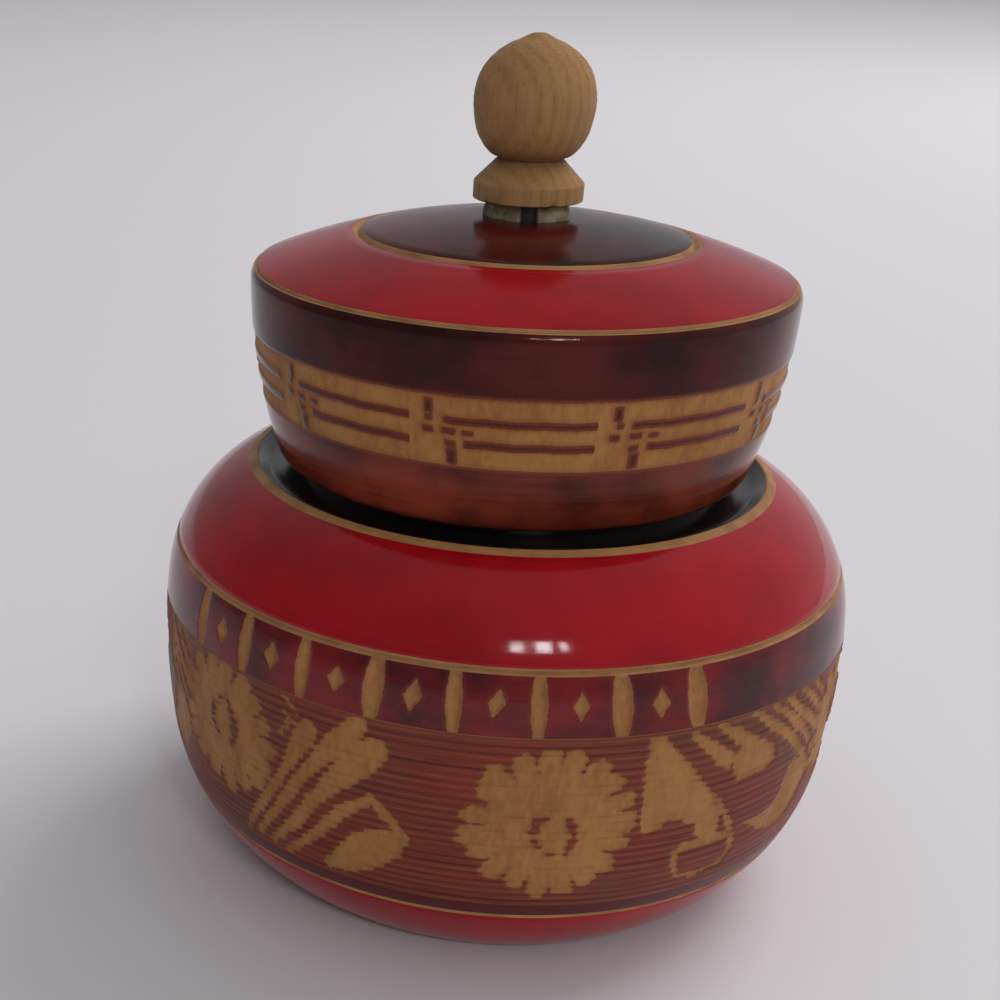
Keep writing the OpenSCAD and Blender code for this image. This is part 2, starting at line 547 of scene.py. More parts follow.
@dataclass(frozen=True)
class Rosette:
    """A flower of scraped petals round a middle, with a few dark marks left in it.

    Args:
        middle: Where its middle lies, round the wall and up.
        reach: How far it reaches to the side and up.
        petals: Number of petals.
        marks: Strokes that are left dark.
        filled: Share of its step that a petal fills.
        uneven: Share by which petals differ in length.
        astray: Angle by which petals stray.
        core: Share of the reach that is scraped all round.
        tooth: Length of the teeth that the comb leaves at the sides.
        tooth_pitch: Height of one tooth.
    """

    middle: Point
    reach: Point
    petals: int
    marks: tuple[Path, ...]
    filled: float = 0.84
    uneven: float = 0.08
    astray: float = 0.12
    core: float = 0.70
    tooth: float = 0.9
    tooth_pitch: float = 0.68

    def distance(self, s: Grid, z: Grid) -> Grid:
        """Signed distance to the scraped places.

        Args:
            s: Distance round the wall.
            z: Height.

        Returns:
            The distance, negative inside.
        """
        across, up = self.reach
        a, b = (s - self.middle[0]) / across, (z - self.middle[1]) / up
        step = FULL_TURN / self.petals
        turn, rho = np.arctan2(b, a), np.hypot(a, b)
        index = np.rint(turn / step)
        number = index % self.petals
        length = 1.0 - self.uneven + self.uneven * scatter(number, self.middle[0])
        off = turn - index * step + self.astray * (scatter(number, 3.0) - 0.5)
        half = self.filled * step / 2
        petal = np.hypot(np.maximum(rho * np.cos(off) - (length - half), 0.0), rho * np.sin(off)) - half
        teeth = self.tooth * (scatter(np.rint(z / self.tooth_pitch), self.middle[0]) - 0.6)
        flower = np.minimum(petal, rho - self.core) * min(across, up) - teeth * np.cos(turn) ** 2
        for mark in self.marks:
            flower = np.maximum(flower, -stroke(s, z, mark))
        return flower


@dataclass(frozen=True)
class FlowerWall:
    """Flowers and leaves scraped through the combed lacquer of the belly, a few times round.

    Args:
        round_at: Radius at which distances round the wall are measured.
        repeats: How often the ornament comes round.
        span: How far round from its middle one set reaches.
        ring_pitch: Height from one ring of the comb to the next.
        ring_depth: Depth of the rings.
        cut_depth: Depth of the scraped places.
        plain_below: Height at which the rings start.
        top_line: Height of the scored line along the top.
        line_half: Half width of that line.
        line_depth: Depth of that line.
        clearance: How far all of it lies under the outline.
        bite: How far the rings make edges ragged.
        slip: How far edges differ from ring to ring.
        waver: Sizes and paces of the waves in an edge.
        flowers: The flowers of one set.
        strokes: Its stems and leaves.
        patches: Its broad leaves.
    """

    round_at: float = 60.0
    repeats: int = 3
    span: float = 70.0
    ring_pitch: float = 1.35
    ring_depth: float = 0.09
    cut_depth: float = 0.34
    plain_below: float = 17.1
    top_line: float = 48.1
    line_half: float = 0.14
    line_depth: float = 0.1
    clearance: float = 0.01
    bite: float = 0.20
    slip: float = 0.36
    waver: tuple[Point, ...] = ((0.13, 0.9), (0.10, 2.3), (0.08, 4.7))
    flowers: tuple[Rosette, ...] = (
        Rosette(
            (-48.6, 36.4),
            (14.4, 12.3),
            17,
            (
                ((-46.6, 41.3, 0.45), (-45.7, 39.8, 0.7)),
                ((-45.2, 38.5, 0.8), (-44.9, 36.7, 1.0)),
                ((-45.0, 35.2, 0.8), (-45.7, 33.9, 0.5)),
                ((-48.2, 41.2, 0.4), (-49.8, 40.4, 0.5)),
                ((-50.8, 38.9, 0.5), (-51.2, 37.3, 0.55)),
                ((-50.9, 35.7, 0.5), (-49.9, 34.5, 0.4)),
            ),
        ),
        Rosette(
            (10.2, 33.0),
            (14.3, 14.1),
            19,
            (
                ((8.2, 33.7, 0.35), (9.7, 34.3, 0.45)),
                ((7.5, 32.0, 0.35), (8.7, 32.3, 0.5)),
                ((8.3, 30.4, 0.35), (9.1, 29.3, 0.5)),
                ((10.5, 28.0, 0.35), (11.4, 27.8, 0.4)),
                ((13.2, 34.0, 0.4), (14.0, 32.5, 0.65)),
                ((14.3, 31.3, 0.6), (14.3, 30.0, 0.6)),
                ((14.0, 28.9, 0.5), (13.4, 28.0, 0.35)),
            ),
        ),
    )
    strokes: tuple[Path, ...] = (
        (
            (-43.56, 18.6, 0.7), (-38.77, 25.5, 0.9), (-35.01, 31.0, 1.0), (-32.66, 35.0, 1.1),
            (-30.31, 39.5, 1.8), (-28.71, 42.8, 1.9),
        ),
        (
            (-40.65, 18.8, 0.7), (-35.01, 26.0, 1.0), (-30.31, 33.5, 1.1), (-26.08, 39.0, 1.6),
            (-22.32, 43.0, 2.4), (-19.69, 46.2, 1.6),
        ),
        (
            (-37.17, 18.6, 0.8), (-31.25, 25.0, 1.2), (-27.02, 31.5, 1.3), (-22.79, 36.5, 2.2),
            (-18.56, 41.0, 3.0), (-16.87, 42.8, 2.2),
        ),
        (
            (-33.88, 17.9, 0.7), (-28.9, 22.5, 1.0), (-24.67, 27.5, 1.1), (-20.91, 31.5, 1.2),
            (-17.24, 34.2, 0.9), (-14.42, 31.8, 0.9), (-12.54, 28.6, 0.9),
        ),
        (
            (-25.42, 18.7, 0.9), (-21.85, 20.8, 2.6), (-18.09, 24.0, 3.7), (-14.8, 26.2, 3.0),
            (-12.45, 28.0, 1.6),
        ),
        (
            (32.3, 25.6, 0.6), (32.5, 22.6, 0.6), (33.9, 20.0, 0.6), (37.6, 19.5, 0.5),
            (42.6, 20.2, 0.5), (44.3, 22.5, 0.6), (43.7, 25.8, 0.6), (40.6, 26.3, 0.8),
            (36.6, 26.3, 0.9), (33.6, 26.4, 0.8), (32.3, 25.6, 0.6),
        ),
        ((37.3, 35.6, 0.4), (39.9, 32.2, 0.5), (42.7, 27.8, 0.7), (44.3, 24.2, 0.5)),
        ((32.3, 46.4, 0.7), (35.9, 43.9, 1.1), (39.6, 40.6, 1.5)),
        ((37.3, 47.0, 0.7), (40.6, 45.0, 1.1), (44.6, 42.2, 1.5)),
        ((44.4, 47.4, 0.6), (49.5, 44.2, 0.9), (55.5, 39.6, 1.0), (61.0, 34.8, 1.0), (66.0, 29.8, 0.6)),
        ((49.5, 47.2, 0.6), (54.0, 44.2, 0.9), (59.5, 39.8, 1.0), (63.0, 36.5, 0.7)),
        ((53.0, 47.3, 0.6), (57.5, 44.0, 0.9), (63.5, 39.6, 0.9)),
        ((57.8, 47.4, 0.6), (62.0, 44.4, 0.9), (65.5, 41.6, 0.7)),
        ((62.5, 47.2, 0.6), (66.5, 44.3, 0.8)),
        ((-33.9, 41.0, 0.3), (-32.4, 42.6, 0.45)),
        ((-33.2, 44.6, 0.3), (-31.0, 43.4, 0.4)),
        ((-33.6, 47.1, 0.35), (-31.6, 46.2, 0.45), (-30.4, 44.6, 0.3)),
    )
    patches: tuple[tuple[Point, ...], ...] = (
        (
            (24.7, 47.2), (27.1, 47.0), (29.6, 44.6), (32.6, 41.2), (35.6, 37.8), (38.1, 34.5),
            (39.9, 30.5), (40.3, 26.5), (37.6, 26.0), (35.7, 27.6), (34.5, 30.6), (32.1, 31.8),
            (29.5, 31.9), (27.3, 30.7), (25.7, 30.4), (24.7, 32.5), (24.3, 37.5), (24.4, 43.0),
        ),
        (
            (40.2, 40.8), (43.5, 42.5), (47.0, 42.5), (50.2, 40.2), (51.2, 37.2), (47.0, 36.4),
            (42.6, 36.2), (41.0, 38.0),
        ),
        (
            (46.2, 27.2), (48.4, 25.6), (51.5, 23.8), (55.5, 22.6), (59.5, 23.2), (63.0, 26.0),
            (65.0, 29.5), (62.5, 33.4), (58.2, 35.4), (56.4, 34.2), (55.6, 30.2), (53.5, 27.6),
            (50.0, 27.2),
        ),
    )

    def distance(self, turn: Grid, z: Grid) -> Grid:
        """Signed distance to the scraped places.

        Args:
            turn: Angle round the axis from the front.
            z: Height.

        Returns:
            The distance, negative inside, with edges that the combed rings make ragged.
        """
        best = np.full(turn.shape, np.inf)
        period = FULL_TURN / self.repeats
        folded = (turn + math.pi) % period - math.pi
        for index in range(self.repeats):
            s = (folded + index * period) * self.round_at
            near = np.abs(s) < self.span
            if near.any():
                best[near] = np.minimum(best[near], self._motifs(s[near], z[near]))
        ring = np.rint(z / self.ring_pitch)
        s = turn * self.round_at
        for size, pace in self.waver:
            best += size * np.sin(s * pace + FULL_TURN * scatter(ring, pace))
        best -= self.bite * np.cos(FULL_TURN * z / self.ring_pitch)
        return best + self.slip * (scatter(ring, 1.7) - 0.5)

    def _motifs(self, s: Grid, z: Grid) -> Grid:
        """Signed distance to one set of flowers and leaves.

        Args:
            s: Distance round the wall.
            z: Height.

        Returns:
            The distance, negative inside.
        """
        parts = [flower.distance(s, z) for flower in self.flowers]
        parts += [stroke(s, z, path) for path in self.strokes]
        parts += [patch(s, z, corners) for corners in self.patches]
        return np.minimum.reduce(parts)

    def carve(self, obj: bpy.types.Object, outline: BowlOutline) -> None:
        """Sinks rings and ornament into the outer face of the belly and notes what is scraped.

        Args:
            obj: The belly.
            outline: Outside of the bowl.
        """
        wall = Wall.of(obj)
        z, turn = wall.z, wall.turn
        outer = wall.r > outline.reach(z) - SKIN
        combed = smooth(z, self.plain_below - 0.4, self.plain_below + 0.4)
        combed *= smooth(z, self.top_line - 0.1, self.top_line - 0.6)
        gap = np.full(z.shape, FAR)
        gap[outer] = self.distance(turn[outer], z[outer])
        gap = np.where(combed > 0.5, gap, FAR)
        cut = smooth(gap, 0.25, -0.35)
        ring = np.rint(z / self.ring_pitch)
        ripple = 0.5 - 0.5 * np.cos(FULL_TURN * z / self.ring_pitch)
        vary = 0.55 + 0.6 * scatter(ring, 5.0) + 0.25 * np.sin(turn * 7.0 + ring * 1.9)
        rings = self.ring_depth * ripple * vary * (1.0 - 0.75 * cut) * combed
        below = np.abs(z - self.top_line)
        scored = self.line_depth * smooth(below, 0.34, 0.10)
        note_cut(obj, np.minimum(gap, below - self.line_half))
        sink(obj, np.where(outer, rings + self.cut_depth * cut + scored + self.clearance, 0.0))


@dataclass(frozen=True)
class GougeBorder:
    """Upright gouge cuts with small diamonds between them, in groups with plain band between.

    Args:
        first: Angle of the first cut from the front.
        pitch: Angle from one cut to the next.
        groups: Number of groups round the band.
        cuts: Number of cuts in a group.
        low: Height of the band's lower edge.
        high: Height of its upper edge.
        half_width: Half the width of a cut.
        diamond: Half the width and half the height of a diamond.
        depth: Depth of the cuts.
        round_at: Radius at which distances round the wall are measured.
    """

    first: float = math.radians(31.0)
    pitch: float = math.radians(12.0)
    groups: int = 2
    cuts: int = 8
    low: float = 48.1
    high: float = 57.1
    half_width: float = 1.5
    diamond: Point = (1.45, 2.3)
    depth: float = 0.75
    round_at: float = 60.0

    def distance(self, turn: Grid, z: Grid) -> Grid:
        """Signed distance to the gouge cuts and diamonds.

        Args:
            turn: Angle round the axis from the front.
            z: Height.

        Returns:
            The distance, negative inside.
        """
        place = (self.first - turn) % FULL_TURN / self.pitch
        return np.minimum(self._cuts(place, z), self._diamonds(place, z))

    def _number(self, index: Grid) -> tuple[Grid, Grid]:
        """Number of each cut round the band, and its number within its group."""
        count = round(FULL_TURN / self.pitch)
        return index % count, index % count % (count // self.groups)

    def _cuts(self, place: Grid, z: Grid) -> Grid:
        """Signed distance to the upright cuts, each a little unlike the others.

        Args:
            place: Number of steps round the band.
            z: Height.

        Returns:
            The distance, negative inside.
        """
        index = np.rint(place)
        number, within = self._number(index)
        t = (z - self.low) / (self.high - self.low)
        lean = 0.9 * (scatter(number, 2.0) - 0.5)
        bow = 0.5 * (scatter(number, 4.0) - 0.3)
        s = (index - place) * self.pitch * self.round_at
        s = s - lean * (t - 0.5) - bow * (0.25 - (t - 0.5) ** 2)
        swell = np.clip(1.0 - 1.5 * (t - 0.53) ** 2, 0.0, 1.0)
        half = self.half_width * (0.84 + 0.34 * scatter(number, 6.0)) * swell
        top = self.high + 0.32 + 0.4 * scatter(number, 8.0)
        gap = np.maximum(np.abs(s) - half, np.maximum(z - top, self.low - 0.3 - z))
        return np.where(within < self.cuts, gap, FAR)

    def _diamonds(self, place: Grid, z: Grid) -> Grid:
        """Signed distance to the diamonds, halfway between the cuts and a little unlike each other.

        Args:
            place: Number of steps round the band.
            z: Height.

        Returns:
            The distance, negative inside.
        """
        index = np.floor(place)
        number, within = self._number(index)
        s = (index + 0.5 - place) * self.pitch * self.round_at
        wide, tall = (
            size * (0.88 + 0.24 * scatter(number, salt)) for size, salt in zip(self.diamond, (11.0, 12.0))
        )
        up = z - 0.5 * (self.low + self.high) - 0.2 - 0.7 * (scatter(number, 13.0) - 0.5)
        lean = 0.5 * (scatter(number, 14.0) - 0.5)
        gap = (np.abs(s - lean * up) / wide + np.abs(up) / tall - 1.0) * 0.85 * wide
        return np.where(within < self.cuts - 1, gap, FAR)

    def carve(self, obj: bpy.types.Object, outline: BowlOutline) -> None:
        """Gouges the cuts and diamonds into the outer face of the band and notes what is cut.

        Args:
            obj: The band.
            outline: Outside of the bowl.
        """
        wall = Wall.of(obj)
        s, z = wall.turn * self.round_at, wall.z
        outer = wall.r > outline.reach(z) - SKIN
        gap = np.where(outer, self.distance(wall.turn, z), FAR)
        gap = gap + 0.05 * np.sin(s * 3.1 + z * 2.3) + 0.04 * np.sin(z * 6.1 - s * 1.3)
        note_cut(obj, gap)
        hollow = np.clip(-gap / self.half_width, 0.0, 1.0)
        ends = smooth(z, self.low, self.low + 0.8) * smooth(z, self.high, self.high - 0.4)
        sink(obj, np.where(outer, self.depth * ends * (1.0 - (1.0 - hollow) ** 2), 0.0))


@dataclass(frozen=True)
class StepFret:
    """A scraped band round the lid with stepped fret lines left standing in it.

    Args:
        round_at: Radius at which distances round the wall are measured.
        low: Height of the band's lower edge.
        high: Height of its upper edge.
        panels: How often the fret comes round.
        first: Where a panel starts, round from the front.
        lead: How far the fret reaches back before its panel.
        depth: Depth of the scraped ground.
        bars: Middle and size of each bar that is left standing.
    """

    round_at: float = 44.0
    low: float = 83.3
    high: float = 94.3
    panels: int = 10
    first: float = -11.7
    lead: float = 3.0
    depth: float = 0.26
    bars: tuple[tuple[Point, Point], ...] = (
        ((0.0, 92.5), (1.4, 2.3)),
        ((13.2, 90.7), (22.8, 1.15)),
        ((-0.1, 90.7), (1.2, 1.0)),
        ((-0.4, 88.9), (1.7, 1.05)),
        ((2.8, 88.9), (2.1, 1.0)),
        ((5.7, 88.9), (1.8, 0.8)),
        ((16.2, 87.0), (22.4, 1.2)),
        ((2.6, 87.0), (1.7, 1.0)),
        ((2.9, 84.9), (1.7, 2.6)),
    )

    def distance(self, turn: Grid, z: Grid) -> Grid:
        """Signed distance to the scraped ground of the band.

        Args:
            turn: Angle round the axis from the front.
            z: Height.

        Returns:
            The distance, negative inside.
        """
        pitch = FULL_TURN / self.panels * self.round_at
        s = turn * self.round_at
        place = (s - self.first + self.lead) / pitch
        panel = np.floor(place) % self.panels
        lean = 0.16 * (scatter(panel, 2.0) - 0.35) * (z - 0.5 * (self.low + self.high))
        local = (place - np.floor(place)) * pitch - self.lead - lean
        wander = 0.06 * np.sin(s * 0.8 + 1.0) + 0.03 * np.sin(s * 2.1)
        gap = np.maximum(z - self.high, self.low - z) + wander * 0.4
        for index, (middle, size) in enumerate(self.bars):
            shift = 0.7 * (scatter(panel, 20.0 + index) - 0.5)
            rise = 0.25 * (scatter(panel, 40.0 + index) - 0.5)
            bar = slab(local - shift, z - rise + wander, middle, size) - 0.05
            gap = np.maximum(gap, -bar)
        return gap + 0.03 * np.sin(s * 5.3 + z * 3.1) + 0.03 * np.sin(s * 9.7 - z * 5.0)

    def carve(self, obj: bpy.types.Object, side: Arc, span: Point) -> None:
        """Scrapes the ground of the band into the lid's side and notes what is scraped.

        Args:
            obj: The lid.
            side: Arc of the lid's side.
            span: Heights between which the side lies.
        """
        wall = Wall.of(obj)
        outer = (wall.r > side.reach(wall.z) - SKIN) & (wall.z > span[0]) & (wall.z < span[1])
        gap = np.where(outer, self.distance(wall.turn, wall.z), FAR)
        note_cut(obj, gap)
        sink(obj, self.depth * smooth(gap, 0.12, -0.22))


# Finishes -------------------------------------------------------------------


def srgb(red: int, green: int, blue: int) -> Colour:
    """Linear colour of display values from 0 to 255."""
    shares = [v / 255 for v in (red, green, blue)]
    return (*(c / 12.92 if c <= 0.04045 else ((c + 0.055) / 1.055) ** 2.4 for c in shares), 1.0)


@dataclass(frozen=True)
class Signal:
    """A number or colour that a shader works out, with plain arithmetic.

    Args:
        tree: Node tree that it belongs to.
        socket: Output that gives it.
    """

    tree: bpy.types.NodeTree
    socket: bpy.types.NodeSocket

    def _through(self, node: bpy.types.Node, *others: "Signal | float") -> "Signal":
        """Feeds this number and others to a node's inputs in order.

        Args:
            node: The node.
            *others: The other numbers.

        Returns:
            What the node gives.
        """
        for slot, value in zip(node.inputs, (self, *others)):
            feed(self.tree, slot, value)
        return Signal(self.tree, node.outputs[0])

    def calc(self, operation: str, *others: "Signal | float") -> "Signal":
        """Result of a Math node on this number and others.

        Args:
            operation: Name of its operation.
            *others: The other numbers.

        Returns:
            The result.
        """
        node = self.tree.nodes.new("ShaderNodeMath")
        node.operation = operation
        return self._through(node, *others)

    def __add__(self, other: "Signal | float") -> "Signal":
        """Sum."""
        return self.calc("ADD", other)

    def __sub__(self, other: "Signal | float") -> "Signal":
        """Difference."""
        return self.calc("SUBTRACT", other)

    def __mul__(self, other: "Signal | float") -> "Signal":
        """Product."""
        return self.calc("MULTIPLY", other)

    def ramp(self, start: float, end: float, low: float = 0.0, high: float = 1.0) -> "Signal":
        """Eases from one value to another.

        Args:
            start: Number at which the low value ends.
            end: Number at which the high value starts.
            low: The low value.
            high: The high value.

        Returns:
            The eased value.
        """
        node = self.tree.nodes.new("ShaderNodeMapRange")
        node.interpolation_type = "SMOOTHSTEP"
        return self._through(node, start, end, low, high)


def feed(tree: bpy.types.NodeTree, slot: bpy.types.NodeSocket, value: "Signal | Colour | float") -> None:
    """Links a signal to an input or sets a constant on it.

    Args:
        tree: The node tree.
        slot: The input.
        value: The signal or constant.
    """
    if isinstance(value, Signal):
        tree.links.new(value.socket, slot)
    else:
        slot.default_value = value


class Canvas:
    """A material while its nodes are put together, on the piece's own coordinates."""

    def __init__(self, name: str) -> None:
        """Starts a material with a Principled shader.

        Args:
            name: Name of the material.
        """
        self.material = bpy.data.materials.new(name)
        self.material.use_nodes = True
        self.tree = self.material.node_tree
        self.shader = self.tree.nodes["Principled BSDF"]
        self.spot = self.tree.nodes.new("ShaderNodeTexCoord").outputs["Object"]
        split = self.tree.nodes.new("ShaderNodeSeparateXYZ")
        self.tree.links.new(self.spot, split.inputs[0])
        self.x, self.y, self.z = (Signal(self.tree, out) for out in split.outputs)

    def attribute(self, name: str) -> Signal:
        """A number stored on the mesh.

        Args:
            name: Name of the attribute.

        Returns:
            The signal.
        """
        node = self.tree.nodes.new("ShaderNodeAttribute")
        node.attribute_name = name
        return Signal(self.tree, node.outputs["Fac"])

    def noise(self, scale: Triple, salt: float, detail: float = 4.0, rough: float = 0.6) -> Signal:
        """Noise from 0 to 1.

        Args:
            scale: Features per metre along each axis.
            salt: Where in the noise it starts.
            detail: Number of finer layers.
            rough: Weight of the finer layers.

        Returns:
            The signal.
        """
        shift = self.tree.nodes.new("ShaderNodeMapping")
        self.tree.links.new(self.spot, shift.inputs["Vector"])
        shift.inputs["Location"].default_value = (salt, salt * 0.7, salt * 1.3)
        shift.inputs["Scale"].default_value = scale
        node = self.tree.nodes.new("ShaderNodeTexNoise")
        self.tree.links.new(shift.outputs[0], node.inputs["Vector"])
        for name, value in (("Scale", 1.0), ("Detail", detail), ("Roughness", rough)):
            node.inputs[name].default_value = value
        return Signal(self.tree, node.outputs["Fac"])

    def mix(self, low: "Signal | Colour", high: "Signal | Colour", share: Signal) -> Signal:
        """Colour between two others.

        Args:
            low: Colour where the share is 0.
            high: Colour where the share is 1.
            share: Share of the second colour.

        Returns:
            The mixed colour.
        """
        node = self.tree.nodes.new("ShaderNodeMix")
        node.data_type = "RGBA"
        for slot, value in ((0, share), (6, low), (7, high)):
            feed(self.tree, node.inputs[slot], value)
        return Signal(self.tree, node.outputs[2])

    def dress(
        self,
        colour: "Signal | Colour",
        rough: "Signal | float",
        height: Signal,
        depth: float,
        shine: float = 0.5,
    ) -> bpy.types.Material:
        """Sets the shader's inputs.

        Args:
            colour: Base colour.
            rough: Roughness.
            height: Fine relief from 0 to 1.
            depth: Depth of that relief, in millimetres.
            shine: Specular level.

        Returns:
            The material.
        """
        feed(self.tree, self.shader.inputs["Base Color"], colour)
        feed(self.tree, self.shader.inputs["Roughness"], rough)
        self.shader.inputs["Specular IOR Level"].default_value = shine
        bump = self.tree.nodes.new("ShaderNodeBump")
        bump.inputs["Distance"].default_value = depth * MM
        feed(self.tree, bump.inputs["Height"], height)
        self.tree.links.new(bump.outputs[0], self.shader.inputs["Normal"])
        return self.material


Layers = tuple[Signal, Signal, Signal]


@dataclass(frozen=True)
class Lacquer:
    """A glossy coloured lacquer over turned wood, with cloudy depth, faint turning streaks and, if given, a
    painted reflection towards the foot.

    Args:
        name: Name of the material.
        colour: Its colour.
        deep: Its colour in the clouds and streaks.
        rough: Roughness of its gloss.
        cloud: Clouds per metre.
        streak: Strength of the streaks.
        shine: Specular level.
        foot: Colour towards the foot of the piece, if it is another one: a painted reflection, lighter and
            redder.
        reflection_fade_z: Heights between which that painted reflection fades out.
        relief: Depth of the fine relief, in millimetres.
    """

    name: str
    colour: Colour
    deep: Colour
    rough: float
    cloud: float = 60.0
    streak: float = 0.3
    shine: float = 0.36
    foot: Colour | None = None
    reflection_fade_z: Point = (0.0, 1.0)
    relief: float = 0.012

    def paint(self, canvas: Canvas) -> Layers:
        """Puts the lacquer on a canvas.

        Args:
            canvas: The material under way.

        Returns:
            Its colour, roughness and fine relief.
        """
        cloud = canvas.noise((self.cloud, self.cloud, self.cloud * 1.4), salt=2.0)
        streaks = canvas.noise((45.0, 45.0, 1400.0), salt=5.0)
        grain = canvas.noise((260.0, 260.0, 120.0), salt=9.0, rough=0.65)
        tone = canvas.mix(self.deep, self.colour, cloud.ramp(0.32, 0.66))
        # Painted reflection: a lighter, redder colour towards the foot of the piece.
        if self.foot:
            low, high = (h * MM for h in self.reflection_fade_z)
            share = canvas.z.ramp(high, low) * cloud.ramp(0.3, 0.66, 0.2, 1.0)
            tone = canvas.mix(tone, self.foot, share)
        tone = canvas.mix(tone, self.deep, streaks.ramp(0.48, 0.75) * self.streak)
        tone = canvas.mix(tone, self.deep, grain.ramp(0.56, 0.74) * (self.streak * 0.8))
        rough = grain.ramp(0.3, 0.75, self.rough, self.rough + 0.05)
        return tone, rough, streaks + grain * 0.6

    def make(self) -> bpy.types.Material:
        """The lacquer alone as a material.

        Returns:
            The material.
        """
        canvas = Canvas(self.name)
        tone, rough, relief = self.paint(canvas)
        return canvas.dress(tone, rough, relief, self.relief, self.shine)


@dataclass(frozen=True)
class BareWood:
    """Pale wood, cut by turning or by scraping.

    Args:
        name: Name of the material.
        light: Colour between the marks.
        dark: Colour of the marks.
        marks: Marks of the tool per metre along each axis.
        relief: Depth of the fine relief, in millimetres.
    """

    name: str
    light: Colour
    dark: Colour
    marks: Triple
    relief: float = 0.05

    def paint(self, canvas: Canvas) -> Layers:
        """Puts the wood on a canvas.

        Args:
            canvas: The material under way.

        Returns:
            Its colour, roughness and fine relief.
        """
        marks = canvas.noise(self.marks, salt=3.0, rough=0.62)
        broad = canvas.noise((170.0, 170.0, 60.0), salt=7.0, detail=3.0)
        tone = canvas.mix(self.light, self.dark, (marks * 0.5 + broad * 0.5).ramp(0.36, 0.70))
        return tone, broad.ramp(0.3, 0.7, 0.5, 0.66), marks

    def make(self) -> bpy.types.Material:
        """The wood alone as a material.

        Returns:
            The material.
        """
        canvas = Canvas(self.name)
        tone, rough, relief = self.paint(canvas)
        return canvas.dress(tone, rough, relief, self.relief)


@dataclass(frozen=True)
class Comb:
    """Rings that a toothed tool leaves in a lacquer, above a plain strip, with painted shade in their
    valleys.

    Args:
        pitch: Height from one ring to the next, in millimetres.
        start: Height at which the rings start, in millimetres.
        valley: Colour of the shade painted in the valleys, also of the dark wear patches.
        ridge: Colour of worn ridges, which is also a painted highlight on them.
        strip: Colour of the plain strip.
        rough: Roughness that the rings add.
    """

    pitch: float
    start: float
    valley: Colour
    ridge: Colour
    strip: Colour
    rough: float = 0.14

    def wave(self, canvas: Canvas) -> Signal:
        """1 on a ridge and -1 in a valley."""
        return (canvas.z * (FULL_TURN / (self.pitch * MM))).calc("COSINE")

    def paint(self, canvas: Canvas, tone: Signal) -> tuple[Signal, Signal]:
        """Adds the rings to a lacquer: painted shade in the valleys, dark wear patches, and worn ridges that
        also carry a painted highlight.

        Args:
            canvas: The material under way.
            tone: Colour of the lacquer.

        Returns:
            Its colour with the rings, and where they are.
        """
        wear = canvas.noise((90.0, 90.0, 2600.0), salt=15.0)
        lines = canvas.noise((16.0, 16.0, 420.0), salt=19.0, detail=3.0)
        wave = self.wave(canvas)
        here = canvas.z.ramp((self.start - 0.2) * MM, (self.start + 0.2) * MM)
        # Painted shade in the ring valleys.
        worn = canvas.mix(tone, self.valley, wave.ramp(-0.1, -0.95) * lines.ramp(0.34, 0.62, 0.2, 0.85))
        worn = canvas.mix(worn, self.valley, wear.ramp(0.50, 0.70) * 0.5)
        # Worn ridges, lighter in patches, also a painted highlight.
        worn = canvas.mix(worn, self.ridge, wave.ramp(0.2, 0.95) * wear.ramp(0.56, 0.34) * 0.5)
        return canvas.mix(self.strip, worn, here), here


@dataclass(frozen=True)
class Carved:
    """A lacquer that is scraped through to bare wood wherever the mesh says so.

    Args:
        name: Name of the material.
        ground: The lacquer.
        wood: The wood under it.
        feather: Colour along the edges of the cuts.
        ragged: How far the edges stray, in millimetres.
        worn: How strongly the lacquer is worn along the edges.
        comb: Rings in the lacquer, if it has any.
        relief: Depth of the fine relief, in millimetres.
    """

    name: str
    ground: Lacquer
    wood: BareWood
    feather: Colour
    ragged: float
    worn: float
    comb: Comb | None = None
    relief: float = 0.03

    def make(self) -> bpy.types.Material:
        """The finish as a material.

        Returns:
            The material.
        """
        canvas = Canvas(self.name)
        tone, rough, relief = self.ground.paint(canvas)
        wood, wood_rough, wood_relief = self.wood.paint(canvas)
        if self.comb:
            tone, here = self.comb.paint(canvas, tone)
            rough = rough + here * self.comb.rough
            left = canvas.noise((160.0, 160.0, 900.0), salt=21.0, detail=3.0)
            valley = self.comb.wave(canvas).ramp(-0.1, -1.0)
            wood = canvas.mix(wood, self.feather, valley * left.ramp(0.42, 0.70) * 0.4)
        edge = canvas.noise((700.0, 700.0, 1100.0), salt=11.0, detail=3.0)
        gap = canvas.attribute(CUT_LAYER) + (edge - 0.5) * (2.0 * self.ragged)
        bare = gap.ramp(0.07, -0.07)
        tone = canvas.mix(tone, self.feather, gap.ramp(0.8, 0.0) * self.worn)
        wood = canvas.mix(wood, self.feather, gap.ramp(-0.8, 0.05) * 0.4)
        colour = canvas.mix(tone, wood, bare)
        rough = rough + (wood_rough - rough) * bare
        relief = relief + (wood_relief * 2.0 - relief) * bare
        return canvas.dress(colour, rough, relief, self.relief, self.ground.shine)


